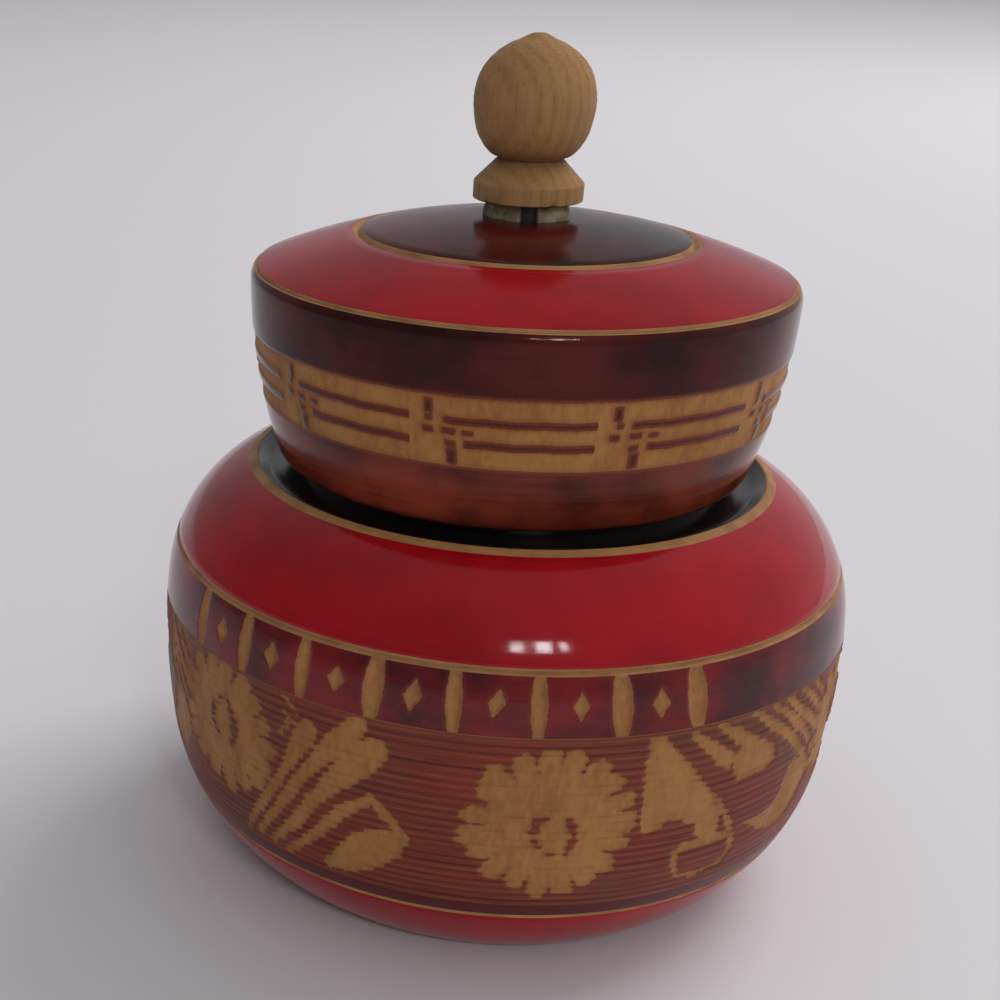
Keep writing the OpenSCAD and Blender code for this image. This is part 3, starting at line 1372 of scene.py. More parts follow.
@dataclass(frozen=True)
class RawWood:
    """Unfinished turned wood with upright grain, faint growth rings and painted shade in the neck.

    Args:
        name: Name of the material.
        light: Colour between the fibres.
        dark: Colour of the fibres and growth rings.
        neck_shade: Colour of the shade painted in the neck, under the ball.
        neck_z: Height of the neck, in millimetres.
        pith: Where the heart of the tree lies, in metres.
        growth: Distance from one growth ring to the next, in metres.
        relief: Depth of the fine relief, in millimetres.
    """

    name: str
    light: Colour
    dark: Colour
    neck_shade: Colour
    neck_z: float = 122.4
    pith: Point = (0.017, 0.009)
    growth: float = 0.0021
    relief: float = 0.06

    def make(self) -> bpy.types.Material:
        """The finish as a material.

        Returns:
            The material.
        """
        canvas = Canvas(self.name)
        fibre = canvas.noise((2100.0, 2100.0, 75.0), salt=1.0, detail=5.0, rough=0.65)
        broad = canvas.noise((240.0, 240.0, 40.0), salt=4.0, detail=3.0, rough=0.55)
        a, b = canvas.x - self.pith[0], canvas.y - self.pith[1]
        reach = (a * a + b * b).calc("SQRT") + broad * 0.0016
        rings = (reach * (FULL_TURN / self.growth)).calc("SINE").ramp(-0.4, 1.0)
        tone = canvas.mix(self.light, self.dark, rings * 0.32 + fibre.ramp(0.42, 0.72) * 0.5)
        turning = canvas.noise((60.0, 60.0, 2400.0), salt=6.0, detail=3.0)
        tone = canvas.mix(tone, self.dark, turning.ramp(0.55, 0.75) * 0.25)
        # Painted shade: the neck under the ball's overhang darkens towards this colour.
        neck = (canvas.z - self.neck_z * MM).calc("ABSOLUTE").ramp(2.6 * MM, 0.2 * MM)
        tone = canvas.mix(tone, self.neck_shade, neck * 0.5)
        rough = fibre.ramp(0.3, 0.7, 0.55, 0.72)
        return canvas.dress(tone, rough, fibre + turning * 0.7, self.relief)


@dataclass(frozen=True)
class Glue:
    """Cloudy dried glue, with shade painted wherever the mesh notes the gap under the collar.

    Args:
        name: Name of the material.
        colour: Its colour.
        dusty: Its colour where it is dusty.
        hollow: Colour of the shade painted in the gap under the collar.
        glow: Share of light that goes through its skin.
        glow_reach: How far that light goes, in metres.
        relief: Depth of the fine relief, in millimetres.
    """

    name: str
    colour: Colour
    dusty: Colour
    hollow: Colour
    glow: float = 0.25
    glow_reach: float = 0.0015
    relief: float = 0.2

    def make(self) -> bpy.types.Material:
        """The finish as a material.

        Returns:
            The material.
        """
        canvas = Canvas(self.name)
        cloud = canvas.noise((500.0, 500.0, 500.0), salt=2.0)
        tone = canvas.mix(self.colour, self.dusty, cloud.ramp(0.35, 0.65))
        # Painted shade in the gap under the collar, where the bead thins out.
        tone = canvas.mix(tone, self.hollow, canvas.attribute(CUT_LAYER).ramp(0.25, -0.25))
        canvas.shader.inputs["Subsurface Weight"].default_value = self.glow
        canvas.shader.inputs["Subsurface Scale"].default_value = self.glow_reach
        return canvas.dress(tone, cloud.ramp(0.3, 0.7, 0.45, 0.7), cloud, self.relief)


Finish = Lacquer | BareWood | Carved | RawWood | Glue

RED = Lacquer("red_lacquer", srgb(160, 6, 23), srgb(142, 4, 17), rough=0.07, streak=0.22, shine=0.29)
DOME = Lacquer("dome_lacquer", srgb(152, 5, 20), srgb(132, 4, 15), rough=0.15, streak=0.22, shine=0.14)
CROWN = Lacquer(
    "crown_lacquer", srgb(88, 27, 23), srgb(34, 13, 12), rough=0.17, cloud=30.0, streak=0.35, shine=0.13
)
# Its foot colour paints a reflection on the lid's lower side.
BROWN = Lacquer(
    "brown_lacquer", srgb(82, 22, 14), srgb(22, 8, 6), rough=0.08, cloud=30.0, streak=0.35, shine=0.18,
    foot=srgb(140, 60, 42), reflection_fade_z=(78.0, 90.0),
)
BAND = Lacquer("band_lacquer", srgb(120, 20, 26), srgb(60, 16, 19), rough=0.09, shine=0.32)
TOOLED = Lacquer(
    "tooled_lacquer", srgb(134, 44, 32), srgb(106, 56, 37), rough=0.28, cloud=30.0, streak=0.15, shine=0.24
)
INSIDE = Lacquer("inside_lacquer", srgb(34, 18, 14), srgb(16, 9, 8), rough=0.14)
SCRAPED = BareWood("scraped_wood", srgb(168, 118, 66), srgb(140, 94, 50), marks=(1000.0, 1000.0, 420.0))
TURNED_WOOD = BareWood("turned_wood", srgb(168, 121, 72), srgb(132, 91, 52), marks=(130.0, 130.0, 1800.0))
# Valley colour is painted shade; ridge colour is wear and painted highlight.
RINGS = Comb(
    FlowerWall.ring_pitch,
    FlowerWall.plain_below,
    valley=srgb(68, 28, 22),
    ridge=srgb(142, 86, 56),
    strip=srgb(84, 25, 23),
)
COMBED = Carved("combed_belly", TOOLED, SCRAPED, srgb(126, 74, 44), ragged=0.12, worn=0.35, comb=RINGS)
GOUGED = Carved("gouged_band", BAND, SCRAPED, srgb(116, 56, 38), ragged=0.05, worn=0.3)
FRETTED = Carved("fretted_lid", BROWN, SCRAPED, srgb(120, 61, 40), ragged=0.05, worn=0.9)
# Colour of the shade painted in the knob's neck, under the ball.
NECK_SHADE = srgb(92, 54, 31)
FOOT_WOOD = RawWood("foot_wood", srgb(160, 116, 70), srgb(130, 88, 50), NECK_SHADE, pith=(-0.012, 0.007))
KNOB_WOOD = RawWood("knob_wood", srgb(156, 117, 68), srgb(128, 89, 49), NECK_SHADE)
# Its third colour is the shade painted in the gap under the collar.
SQUEEZED = Glue("dried_glue", srgb(150, 140, 106), srgb(108, 98, 72), srgb(30, 19, 12))


# Pieces ---------------------------------------------------------------------


def settle(
    obj: bpy.types.Object, body: Body, replaced: str | None = None
) -> bpy.types.Object:
    """Puts a finished piece on its body.

    Args:
        obj: The piece.
        body: Body that it rides on.
        replaced: CAD node that it stands for.

    Returns:
        The piece.
    """
    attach(obj, body.value)
    if replaced:
        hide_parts(replaced)
    return obj


@dataclass
class Finishes:
    """Materials of the zones, made once and shared.

    Args:
        made: Materials so far, by the names of their finishes.
    """

    made: dict[str, bpy.types.Material] = field(default_factory=dict)

    def get(self, finish: Finish) -> bpy.types.Material:
        """Material of a finish.

        Args:
            finish: The finish.

        Returns:
            Its material.
        """
        if finish.name not in self.made:
            self.made[finish.name] = finish.make()
        return self.made[finish.name]

    def wear(self, obj: bpy.types.Object, profile: Profile, looks: dict[Zone, Finish]) -> None:
        """Fills the material slots of an object.

        Args:
            obj: The object.
            profile: The section that it was spun from.
            looks: Finish of each of its zones.
        """
        for zone in profile.order():
            obj.data.materials.append(self.get(looks[zone]))


@dataclass
class Bowl:
    """The bowl: its body, and the combed belly and gouged band that are let into its outside.

    Args:
        finishes: Materials to share.
        outline: Its outside.
        wall: Thickness of the wall.
        floor: Thickness of the floor.
        height: Height of the mouth's edge.
        mouth: Radius of the mouth's edge.
        seat: Outer radius of the ledge that the lid sits on.
        seat_z: Height of the ledge.
        throat: Radius of the throat inside the ledge.
        lip_z: Height at which the throat opens into the hollow.
        upper_line_z: Height of the line above the band.
        lower_line_z: Height of the line below the belly.
        broad_line: Width of the upper line.
        fine_line: Width of the lower line.
        line_depth: Depth of a line as a share of its width.
        band_z: Height at which belly and band meet.
        skin: Depth of the recess that they sit in.
        foot_round: Rounding of the foot's edge.
        rim_round: Rounding of the mouth's edge.
        ledge_round: Rounding of the throat's edge.
        belly_row: Height of the belly's rows of faces.
    """

    finishes: Finishes
    outline: BowlOutline = BowlOutline()
    wall: float = 8.0
    floor: float = 9.0
    height: float = 71.5
    mouth: float = 43.8
    seat: float = 41.2
    seat_z: float = 69.5
    throat: float = 34.4
    lip_z: float = 64.3
    upper_line_z: float = 57.8
    lower_line_z: float = 14.3
    broad_line: float = 1.1
    fine_line: float = 0.9
    line_depth: float = 0.4
    band_z: float = 48.1
    skin: float = 4.0
    foot_round: float = 0.5
    rim_round: float = 0.25
    ledge_round: float = 0.35
    belly_row: float = 0.27

    def _line(self, arc: Arc, z: float, width: float) -> list[Point]:
        """Section of a turned line on an arc."""
        return arc.groove(arc.angle(z), width, width * self.line_depth)

    def _ring(self, low: float, high: float, rows: int) -> Profile:
        """Section of a ring between two heights that fills part of the recess."""
        back = self.outline.rows(high, low, 4, self.skin)
        return Profile(closed=True).add(self.outline.rows(low, high, rows) + back)

    def _hollow(self, profile: Profile) -> None:
        """Adds the hollow, from the throat's lower end to the middle of the floor.

        Args:
            profile: Section of the body, which ends at the throat.
        """
        o, wall, dark = self.outline, self.wall, Zone.DARK
        top = math.asin((self.lip_z - o.brow.z) / (o.brow.radius - wall))
        low = math.asin((self.floor - o.base.z) / (o.base.radius - wall))
        profile.to(o.brow.at(top, wall), 4, dark)
        profile.add(o.brow.sweep(top, o.brow_join, 5, wall), dark)
        profile.add(o.shoulder.sweep(o.brow_join, 0.0, 4, wall), dark)
        profile.add(o.belly.sweep(0.0, o.foot_join, 5, wall), dark)
        profile.add(o.base.sweep(o.foot_join, low, 8, wall), dark)
        profile.to((0.0, self.floor), 10, dark)

    def body(self) -> bpy.types.Object:
        """Foot, shoulder, mouth and hollow, with a recess where the carved rings sit.

        Returns:
            The piece.
        """
        o, axis = self.outline, (0.0, 0.0)
        lower = self._line(o.base, self.lower_line_z, self.fine_line)
        upper = self._line(o.brow, self.upper_line_z, self.broad_line)
        recess = o.rows(lower[-1][1], upper[0][1], 8, self.skin)
        rim, seat = (self.mouth, self.height), (self.seat, self.seat_z)
        ledge, lip = (self.throat, self.seat_z), (self.throat, self.lip_z)
        p = Profile().add(line(axis, (o.foot - self.foot_round, 0.0), 10), Zone.END)
        p.add(eased(axis, (o.foot, 0.0), o.base.at(o.base.angle(2.0)), self.foot_round), Zone.RED)
        p.add(o.base.sweep(o.base.angle(self.foot_round), o.base.angle(lower[0][1]), 14), Zone.RED)
        p.add(lower, Zone.BARE)
        p.add(recess + [upper[0]], Zone.RED)
        p.add(upper, Zone.BARE)
        p.add(o.brow.sweep(o.brow.angle(upper[-1][1]), o.brow.angle(o.rim_z), 18), Zone.RED)
        p.add(eased((o.rim, o.rim_z), rim, seat, self.rim_round), Zone.BARE)
        p.add(line(rim, seat, 4)[1:], Zone.DARK)
        p.add(line(seat, ledge, 4)[:-1], Zone.DARK)
        p.add(eased(seat, ledge, lip, self.ledge_round), Zone.DARK)
        p.add(line((self.throat, self.seat_z - 0.4), lip, 4), Zone.DARK)  # clear of the rounding
        self._hollow(p)
        obj = Turned("bowl_body", p, steps=360).spin()
        looks = {Zone.END: FOOT_WOOD, Zone.RED: RED, Zone.BARE: TURNED_WOOD, Zone.DARK: INSIDE}
        self.finishes.wear(obj, p, looks)
        polish(obj)
        return settle(obj, Body.BOX, "bowl")

    def belly(self) -> bpy.types.Object:
        """The combed belly with its flowers and leaves.

        Returns:
            The piece.
        """
        low = self._line(self.outline.base, self.lower_line_z, self.fine_line)[-1][1]
        profile = self._ring(low, self.band_z, round((self.band_z - low) / self.belly_row))
        obj = Turned("bowl_belly", profile, steps=752, strips=4).spin()
        FlowerWall().carve(obj, self.outline)
        self.finishes.wear(obj, profile, {Zone.ALL: COMBED})
        polish(obj, crease=60.0)
        return settle(obj, Body.BOX)

    def band(self) -> bpy.types.Object:
        """The dark band with its gouged border.

        Returns:
            The piece.
        """
        high = self._line(self.outline.brow, self.upper_line_z, self.broad_line)[0][1]
        profile = self._ring(self.band_z, high, 36)
        obj = Turned("bowl_band", profile, steps=1080, strips=6).spin()
        GougeBorder().carve(obj, self.outline)
        self.finishes.wear(obj, profile, {Zone.ALL: GOUGED})
        polish(obj, crease=60.0)
        return settle(obj, Body.BOX)


@dataclass
class Lid:
    """The lid: domed top, side with the fret, rebate, tenon and hollow.

    Args:
        finishes: Materials to share.
        widest: Radius where side and top meet.
        widest_z: Height of that place.
        side_arc: Radius of the side's arc.
        edge: Rounding at the foot of the side.
        brow: Rounding between the side and the dome.
        dome_arc: Radius of the dome's arc.
        under_z: Height of the underside outside the rebate.
        rebate: Radius of the rebate.
        seat_z: Height of the rebate, which sits on the bowl's ledge.
        tenon: Radius of the tenon.
        tenon_z: Height of the tenon's lower end.
        hollow: Radius of the hollow.
        hollow_top: Height of the hollow's top.
        hollow_round: Rounding of the hollow's top.
        flat: Radius of the flat under the knob.
        bore: Radius of the bore for the peg.
        bore_depth: Depth of that bore.
        dome_line: Radius of the line on the dome.
        brow_line: Angle of the line on the rounding.
        broad_line: Width of the line on the dome.
        fine_line: Width of the line on the rounding.
        line_depth: Depth of a line as a share of its width.
        fret_edge: Height of fine rows of faces beyond the fret.
        hollow_edge: Rounding of the tenon's inner edge.
        tenon_edge: Rounding of its outer edge.
    """

    finishes: Finishes
    widest: float = 45.2
    widest_z: float = 102.7
    side_arc: float = 88.0
    edge: float = 3.0
    brow: float = 2.4
    dome_arc: float = 116.0
    under_z: float = 72.2
    rebate: float = 36.0
    seat_z: float = 69.5
    tenon: float = 34.0
    tenon_z: float = 62.5
    hollow: float = 29.0
    hollow_top: float = 96.5
    hollow_round: float = 12.0
    flat: float = 9.1
    bore: float = 3.6
    bore_depth: float = 9.5
    dome_line: float = 27.7
    brow_line: float = math.radians(49.0)
    broad_line: float = 1.5
    fine_line: float = 0.9
    line_depth: float = 0.4
    fret_edge: float = 0.5
    hollow_edge: float = 0.4
    tenon_edge: float = 0.5

    @cached_property
    def side(self) -> Arc:
        """Arc of the side."""
        return Arc(self.widest - self.side_arc, self.widest_z, self.side_arc)

    @cached_property
    def lower_edge(self) -> Arc:
        """Rounding at the foot of the side.

        Returns:
            Its arc.
        """
        z = self.under_z + self.edge
        reach = math.sqrt((self.side_arc - self.edge) ** 2 - (self.widest_z - z) ** 2)
        return Arc(self.side.r + reach, z, self.edge)

    @cached_property
    def shoulder(self) -> Arc:
        """Rounding between the side and the dome."""
        return Arc(self.widest - self.brow, self.widest_z, self.brow)

    @cached_property
    def dome(self) -> Arc:
        """Arc of the top."""
        drop = math.sqrt((self.dome_arc - self.brow) ** 2 - self.shoulder.r**2)
        return Arc(0.0, self.widest_z - drop, self.dome_arc)

    @cached_property
    def flat_z(self) -> float:
        """Height of the flat under the knob."""
        return self.dome.z + math.sqrt(self.dome_arc**2 - self.flat**2)

    def _inside(self) -> Profile:
        """Section of the hollow, tenon and rebate.

        Returns:
            The section, from the middle of the hollow to the foot of the side.
        """
        turn_z = self.hollow_top - self.hollow_round
        hollow = Arc(self.hollow - self.hollow_round, turn_z, self.hollow_round)
        mid, end = 0.5 * (self.hollow + self.tenon), self.tenon_z
        p = Profile().add(line((0.0, self.hollow_top), (hollow.r, self.hollow_top), 5), Zone.DARK)
        p.add(hollow.sweep(math.pi / 2, 0.0, 8), Zone.DARK)
        p.to((self.hollow, end + self.hollow_edge), 5, Zone.DARK)
        inner, outer, seat = (self.hollow, end), (self.tenon, end), (self.tenon, self.seat_z)
        p.add(eased((self.hollow, turn_z), inner, (mid, end), self.hollow_edge), Zone.BARE)
        p.add(eased((mid, end), outer, seat, self.tenon_edge), Zone.BARE)
        p.add(line((self.tenon, end + 0.6), seat, 6), Zone.BARE)  # clear of the rounding
        p.to((self.rebate, self.seat_z), 2, Zone.DARK)
        p.to((self.rebate, self.under_z), 2, Zone.DARK)
        return p.to((self.lower_edge.r, self.under_z), 2, Zone.DARK)

    def _outside(self, p: Profile, fret: StepFret) -> None:
        """Adds the side, the dome with its two lines, and the bore.

        Args:
            p: Section so far, which ends at the foot of the side.
            fret: Ornament of the side, which needs fine rows of faces.
        """
        side, dome, shoulder, low = self.side, self.dome, self.shoulder, self.lower_edge
        start = -math.asin((self.widest_z - low.z) / (self.side_arc - self.edge))
        fine = side.angle(fret.low - self.fret_edge), side.angle(fret.high + self.fret_edge)
        join = math.acos(shoulder.r / (self.dome_arc - self.brow))
        ring = math.acos(self.dome_line / self.dome_arc)
        half_fine, half_broad = 0.5 * self.fine_line / self.brow, 0.5 * self.broad_line / self.dome_arc
        p.add(low.sweep(-math.pi / 2, start, 8), Zone.CARVED)
        p.add(side.sweep(start, fine[0], 8), Zone.CARVED)
        p.add(side.sweep(*fine, 46), Zone.CARVED)
        p.add(side.sweep(fine[1], 0.0, 8), Zone.CARVED)
        p.add(shoulder.sweep(0.0, self.brow_line - half_fine, 5), Zone.CARVED)
        p.add(shoulder.groove(self.brow_line, self.fine_line, self.fine_line * self.line_depth), Zone.BARE)
        p.add(shoulder.sweep(self.brow_line + half_fine, join, 3), Zone.RED)
        p.add(dome.sweep(join, ring - half_broad, 9), Zone.RED)
        p.add(dome.groove(ring, self.broad_line, self.broad_line * self.line_depth), Zone.BARE)
        p.add(dome.sweep(ring + half_broad, math.acos(self.flat / self.dome_arc), 9), Zone.BROWN)
        p.to((self.bore, self.flat_z), 3, Zone.BROWN)
        p.to((self.bore, self.flat_z - self.bore_depth), 3, Zone.BARE)
        p.to((0.0, self.flat_z - self.bore_depth), 2, Zone.BARE)

    def build(self) -> bpy.types.Object:
        """Turns, scrapes and dresses the lid.

        Returns:
            The piece.
        """
        fret, profile = StepFret(), self._inside()
        self._outside(profile, fret)
        obj = Turned("lid_shell", profile, steps=640, strips=2).spin()
        fret.carve(obj, self.side, (self.lower_edge.z, self.widest_z))
        looks = {
            Zone.RED: DOME,
            Zone.BROWN: CROWN,
            Zone.BARE: TURNED_WOOD,
            Zone.DARK: INSIDE,
            Zone.CARVED: FRETTED,
        }
        self.finishes.wear(obj, profile, looks)
        polish(obj)
        return settle(obj, Body.COVER, "lid")


@dataclass
class Knob:
    """The raw ball knob on its collar, with the peg that is glued into the lid.

    Args:
        finishes: Materials to share.
        base_z: Height of the flat that it stands on.
        ball: Radius of the ball.
        neck: Radius of the neck.
        neck_height: Height of the neck.
        collar: Radius of the collar.
        cone: Height of the cone above the collar.
        collar_edge: Height of the collar's edge.
        bevel: Rise of the collar's underside.
        bevel_in: Width of that underside.
        stub: Height of the stub below it.
        pip: Radius of the tip on the ball.
        pip_height: Height of that tip.
        peg: Radius of the peg.
        peg_length: Length of the peg.
        soft: Rounding of the collar's edges.
        wear: Depth of the torn lower edge.
        fuller: Swellings of the ball, each its size, its height and its spread in ball radii.
        tears: Waves that make the torn edge, each its size, its count and its start.
    """

    finishes: Finishes
    base_z: float
    ball: float = 9.8
    neck: float = 5.2
    neck_height: float = 0.3
    collar: float = 9.0
    cone: float = 3.8
    collar_edge: float = 2.8
    bevel: float = 0.35
    bevel_in: float = 2.6
    stub: float = 2.325
    pip: float = 1.6
    pip_height: float = 0.5
    peg: float = 3.5
    peg_length: float = 9.0
    soft: float = 0.18
    wear: float = 0.42
    fuller: tuple[Triple, ...] = ((0.42, -0.55, 0.22), (1.05, -0.86, 0.20), (0.16, 0.55, 0.25))
    tears: tuple[Triple, ...] = ((0.5, 5.0, 0.4), (0.4, 11.0, 2.0), (0.35, 23.0, 1.1))

    @cached_property
    def bevel_z(self) -> float:
        """Height at which the stub ends and the collar's underside starts."""
        return self.base_z + self.stub

    @cached_property
    def low(self) -> float:
        """Height of the collar's lower edge."""
        return self.bevel_z + self.bevel

    @cached_property
    def ball_z(self) -> float:
        """Height of the ball's middle."""
        neck_end = self.low + self.collar_edge + self.cone + self.neck_height
        return neck_end + math.sqrt(self.ball**2 - self.neck**2)

    @cached_property
    def top(self) -> float:
        """Height of the tip."""
        return self.ball_z + self.ball + self.pip_height

    @property
    def stub_r(self) -> float:
        """Radius of the stub."""
        return self.collar - self.bevel_in

    def _fuller(self, r: float, z: float) -> Point:
        """A point of the ball, moved out where the turner left it fuller than round.

        Args:
            r: Radius of the point on a round ball.
            z: Its height.

        Returns:
            The point.
        """
        rise = (z - self.ball_z) / self.ball
        swell = sum(size * math.exp(-(((rise - at) / wide) ** 2)) for size, at, wide in self.fuller)
        return (r + swell, z)

    def _section(self) -> Profile:
        """Section of the knob. Its straight runs stop just short of the rounded edges.

        Returns:
            The section, from the foot of the peg to the tip.
        """
        z, foot, low, top = self.base_z, self.base_z - self.peg_length, self.low, self.top
        high = low + self.collar_edge
        stub, lower, upper = (self.stub_r, self.bevel_z), (self.collar, low), (self.collar, high)
        neck = (self.neck, high + self.cone)
        slope = self.cone / (self.collar - self.neck)
        ball = Arc(0.0, self.ball_z, self.ball)
        tip_angle = math.acos(2.2 * self.pip / self.ball)
        tip = ball.at(tip_angle)
        p = Profile().add(line((0.0, foot), (self.peg, foot), 3))
        p.to((self.peg, z), 4)
        p.to((self.stub_r, z), 3)
        p.to(stub, 4)
        p.to((self.collar - 0.4, low - 0.12), 4)
        p.add(eased(stub, lower, upper, self.soft))
        p.add(line((self.collar, low + 0.25), (self.collar, high - 0.25), 4))
        p.add(eased(lower, upper, neck, self.soft))
        p.add(line((self.collar - 0.5, high + 0.5 * slope), neck, 6))
        p.to((self.neck, neck[1] + self.neck_height), 3)
        belly = ball.sweep(-math.acos(self.neck / self.ball), tip_angle, 40)
        p.add([self._fuller(r, height) for r, height in belly])
        p.add(line(tip, (self.pip * 0.75, top - 0.12), 5))
        p.add(eased(tip, (self.pip * 0.6, top), (0.0, top), 0.35))
        return p.add([(0.0, top)])

    def _wear_down(self, obj: bpy.types.Object) -> None:
        """Tears the collar's lower edge and leaves faint marks of the tool.

        Args:
            obj: The knob.
        """
        wall = Wall.of(obj)
        turn = wall.turn - math.pi / 2
        near = smooth(np.abs(wall.z - self.low), 0.7, 0.05) * (wall.r > self.stub_r + 0.6)
        waves = sum(size * np.sin(turn * count + start) for size, count, start in self.tears)
        torn = np.clip(waves - 0.25, 0.0, 1.0)
        chatter = 0.02 * np.sin(wall.z * 5.2) + 0.015 * np.sin(turn * 9.0 + wall.z)
        outer = (wall.z > self.bevel_z) & (wall.z < self.top - 0.6)
        sink(obj, np.where(outer, self.wear * near * torn + chatter + 0.035, 0.0))

    def build(self) -> bpy.types.Object:
        """Turns the knob, wears its edges and dresses it.

        Returns:
            The piece.
        """
        profile = self._section()
        obj = Turned("ball_knob", profile, steps=144).spin()
        self._wear_down(obj)
        self.finishes.wear(obj, profile, {Zone.ALL: KNOB_WOOD})
        polish(obj, crease=35.0)
        return settle(obj, Body.COVER, "knob")


@dataclass
class GlueBead:
    """Glue that was squeezed out under the knob's collar, thin in places.

    Args:
        finishes: Materials to share.
        base_z: Height of the flat that it lies on.
        inner: Radius of the stub that it lies against.
        size: Width and height of its section.
        rise: How much taller than wide it stands.
        gap_turn: Angle at which it has a gap.
        gap_half: Half the width of that gap.
    """

    finishes: Finishes
    base_z: float
    inner: float = 6.4
    size: float = 1.7
    rise: float = 1.34
    gap_turn: float = 0.06
    gap_half: float = 1.25

    def build(self) -> bpy.types.Object:
        """Spins the bead and lets it swell and thin out round the knob.

        Returns:
            The piece.
        """
        foot, bead = (self.inner, self.base_z), Arc(self.inner, self.base_z, self.size)
        profile = Profile(closed=True)
        profile.add(line(foot, bead.at(0.0), 3))
        profile.add(bead.sweep(0.0, math.pi / 2, 9))
        profile.add(line((self.inner, self.base_z + self.size), foot, 3)[:-1])
        obj = Turned("glue_bead", profile, steps=176).spin()
        wall, place = Wall.of(obj), coordinates(obj.data) / MM
        turn, off = wall.turn, np.abs(wall.turn - self.gap_turn)
        lump = 0.48 + 0.16 * np.sin(2 * turn + 0.6) + 0.12 * np.sin(5 * turn + 2.0) + 0.07 * np.sin(13 * turn)
        share = np.clip(lump * (1.0 - 0.8 * smooth(off, 0.22, 0.10)), 0.1, 1.0)
        scale = (self.inner + (wall.r - self.inner) * share) / wall.r
        tall = self.rise * (0.8 + 0.2 * np.clip(lump / 0.6, 0.0, 1.0))
        place[:, :2] *= scale[:, None]
        place[:, 2] = self.base_z + (wall.z - self.base_z) * tall
        set_coordinates(obj.data, place * MM)
        # Notes the distance from the gap, where the glue's material paints shade.
        note_cut(obj, off * self.inner - self.gap_half)
        self.finishes.wear(obj, profile, {Zone.ALL: SQUEEZED})
        polish(obj, crease=50.0)
        return settle(obj, Body.COVER, "knob_glue")


# Studio ---------------------------------------------------------------------


@dataclass(frozen=True)
class Lamp:
    """A soft rectangular light aimed at a point.

    Args:
        name: Its name.
        place: Where it stands, in metres.
        aim: The point, in metres.
        size: Its width and height, in metres.
        power: Its power, in watts.
        mirrored: Whether it shows in the lacquer.
    """

    name: str
    place: Triple
    aim: Triple
    size: Point
    power: float
    mirrored: bool = True

    def build(self) -> bpy.types.Object:
        """Makes and aims the light.

        Returns:
            The light.
        """
        data = bpy.data.lights.new(self.name, "AREA")
        data.shape = "RECTANGLE"
        data.size, data.size_y = self.size
        data.energy = self.power
        lamp = bpy.data.objects.new(self.name, data)
        lamp.location = self.place
        ahead = Vector(self.aim) - Vector(self.place)
        lamp.rotation_euler = ahead.to_track_quat("-Z", "Y").to_euler()
        lamp.visible_glossy = self.mirrored
        bpy.context.scene.collection.objects.link(lamp)
        return lamp


@dataclass(frozen=True)
class Viewpoint:
    """The camera.

    Args:
        distance: How far in front of the box it stands, in millimetres.
        height: How high it stands, in millimetres.
        pitch: How far it looks down, in degrees.
        yaw: How far it looks to the right, in degrees.
        roll: How far it is rolled, in degrees.
        focal: Its focal length, in pixels of the frame.
        middle: Where its axis meets the frame, in pixels.
        frame: Width of the frame, in pixels.
        sensor: Width of the sensor, in millimetres.
        near: Distance at which the view starts, in metres.
    """

    distance: float = 262.32
    height: float = 157.46
    pitch: float = 23.730
    yaw: float = -7.874
    roll: float = 1.111
    focal: float = 1557.5
    middle: Point = (300.0, 600.0)
    frame: float = 1000.0
    sensor: float = 36.0
    near: float = 0.01

    def build(self) -> bpy.types.Object:
        """Makes the camera and turns it to the view.

        Returns:
            The camera.
        """
        pitch, yaw, roll = (math.radians(a) for a in (self.pitch, self.yaw, self.roll))
        flat = math.cos(pitch)
        ahead = Vector((math.sin(yaw) * flat, math.cos(yaw) * flat, -math.sin(pitch)))
        level = Vector((math.cos(yaw), -math.sin(yaw), 0.0))
        above = level.cross(ahead)
        right = level * math.cos(roll) + above * math.sin(roll)
        up = above * math.cos(roll) - level * math.sin(roll)
        data = bpy.data.cameras.new("view")
        data.sensor_fit = "HORIZONTAL"
        data.sensor_width = self.sensor
        data.lens = self.focal / self.frame * self.sensor
        data.shift_x = (self.frame / 2 - self.middle[0]) / self.frame
        data.shift_y = (self.middle[1] - self.frame / 2) / self.frame
        data.clip_start = self.near
        camera = bpy.data.objects.new("view", data)
        turn = Matrix((right, up, -ahead)).transposed().to_4x4()
        place = Matrix.Translation((0.0, -self.distance * MM, self.height * MM))
        camera.matrix_world = place @ turn
        bpy.context.scene.collection.objects.link(camera)
        bpy.context.scene.camera = camera
        return camera


@dataclass(frozen=True)
class Room:
    """Soft surrounding light, stronger from above, from behind the box and from the right.

    Args:
        colour: Its colour.
        level: Its strength on the level.
        right: Strength that it gains to the right.
        back: Strength that it gains behind the box.
        above: Strength that it gains upwards.
        least: Strength that it does not go below.
        backdrop: Colour that is shown beyond the floor.
    """

    colour: Colour = srgb(250, 250, 255)
    level: float = 0.36
    right: float = 0.17
    back: float = 0.08
    above: float = 0.12
    least: float = 0.04
    backdrop: Colour = srgb(204, 203, 206)

    def build(self) -> None:
        """Makes the surrounding light, and the plain backdrop that shows beyond the floor."""
        world = bpy.data.worlds.new("soft_room")
        world.use_nodes = True
        tree = world.node_tree
        split = tree.nodes.new("ShaderNodeSeparateXYZ")
        spot = tree.nodes.new("ShaderNodeTexCoord")
        tree.links.new(spot.outputs["Generated"], split.inputs[0])
        x, y, z = (Signal(tree, out) for out in split.outputs)
        light = x * self.right + y * self.back + z * self.above + self.level
        ground = tree.nodes["Background"]
        ground.inputs["Color"].default_value = self.colour
        feed(tree, ground.inputs["Strength"], light.calc("MAXIMUM", self.least))
        shown = tree.nodes.new("ShaderNodeBackground")
        shown.inputs["Color"].default_value = self.backdrop
        pick = tree.nodes.new("ShaderNodeMixShader")
        path = tree.nodes.new("ShaderNodeLightPath")
        sources = (path.outputs["Is Camera Ray"], ground.outputs[0], shown.outputs[0])
        for source, slot in zip(sources, pick.inputs):
            tree.links.new(source, slot)
        tree.links.new(pick.outputs[0], tree.nodes["World Output"].inputs["Surface"])
        bpy.context.scene.world = world


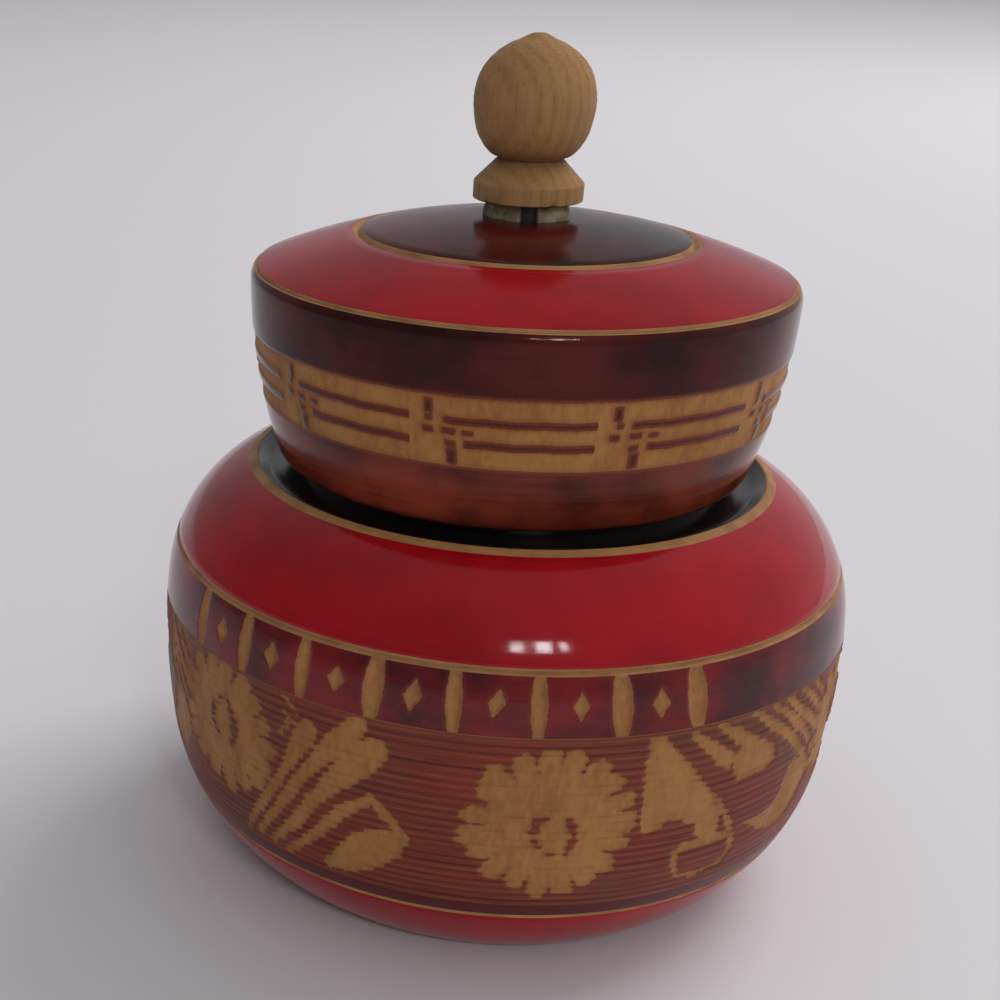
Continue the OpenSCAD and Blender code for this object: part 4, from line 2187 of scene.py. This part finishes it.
@dataclass(frozen=True)
class Studio:
    """A pale floor under soft light, with a few small panes that glint in the lacquer.

    Args:
        floor_size: Half the floor's width, in metres.
        floor_colour: Its colour.
        floor_rough: Its roughness.
        floor_relief: Depth of its fine grain, in millimetres.
        lamps: The lights.
    """

    floor_size: float = 8.0
    floor_colour: Colour = srgb(218, 215, 217)
    floor_rough: float = 0.62
    floor_relief: float = 0.02
    lamps: tuple[Lamp, ...] = (
        Lamp("key", (1.23, 1.17, 1.80), (0.0, 0.0, 0.03), (1.5, 1.5), 33.0, False),
        Lamp("far", (0.40, 3.20, 1.40), (0.40, 3.20, 0.0), (3.0, 2.4), 10.0, False),
        Lamp("side", (1.30, -0.60, 0.35), (0.0, 0.0, 0.06), (0.8, 0.6), 1.1, False),
        Lamp("pane_a", (0.15, -1.07, 0.80), (0.0, 0.0, 0.06), (0.08, 0.13), 0.9),
        Lamp("pane_b", (0.32, -1.03, 0.80), (0.0, 0.0, 0.06), (0.10, 0.15), 1.4),
        Lamp("pane_c", (0.44, -0.98, 0.80), (0.0, 0.0, 0.06), (0.04, 0.13), 0.5),
    )

    def _floor(self) -> None:
        """Makes the floor."""
        bm = bmesh.new()
        bmesh.ops.create_grid(bm, x_segments=2, y_segments=2, size=self.floor_size)
        mesh = bpy.data.meshes.new("floor")
        bm.to_mesh(mesh)
        bm.free()
        floor = bpy.data.objects.new("floor", mesh)
        bpy.context.scene.collection.objects.link(floor)
        canvas = Canvas("floor_paper")
        grain = canvas.noise((900.0, 900.0, 900.0), salt=0.0, detail=3.0, rough=0.5)
        paper = canvas.dress(self.floor_colour, self.floor_rough, grain, self.floor_relief)
        mesh.materials.append(paper)

    def build(self) -> None:
        """Makes the floor, the lights, the surrounding light and the camera."""
        self._floor()
        for lamp in self.lamps:
            lamp.build()
        Room().build()
        bpy.context.scene.view_settings.view_transform = "Standard"
        Viewpoint().build()


def main() -> None:
    """Builds the studio and the pieces in order."""
    logging.basicConfig(level=logging.INFO, format="%(name)s %(message)s")
    Studio().build()
    finishes = Finishes()
    bowl, lid = Bowl(finishes), Lid(finishes)
    knob, glue = Knob(finishes, lid.flat_z), GlueBead(finishes, lid.flat_z)
    for build in (bowl.body, bowl.belly, bowl.band, lid.build, knob.build, glue.build):
        piece = build()
        LOG.info("%s: %d faces", piece.name, len(piece.data.polygons))


if __name__ == "__main__":
    main()
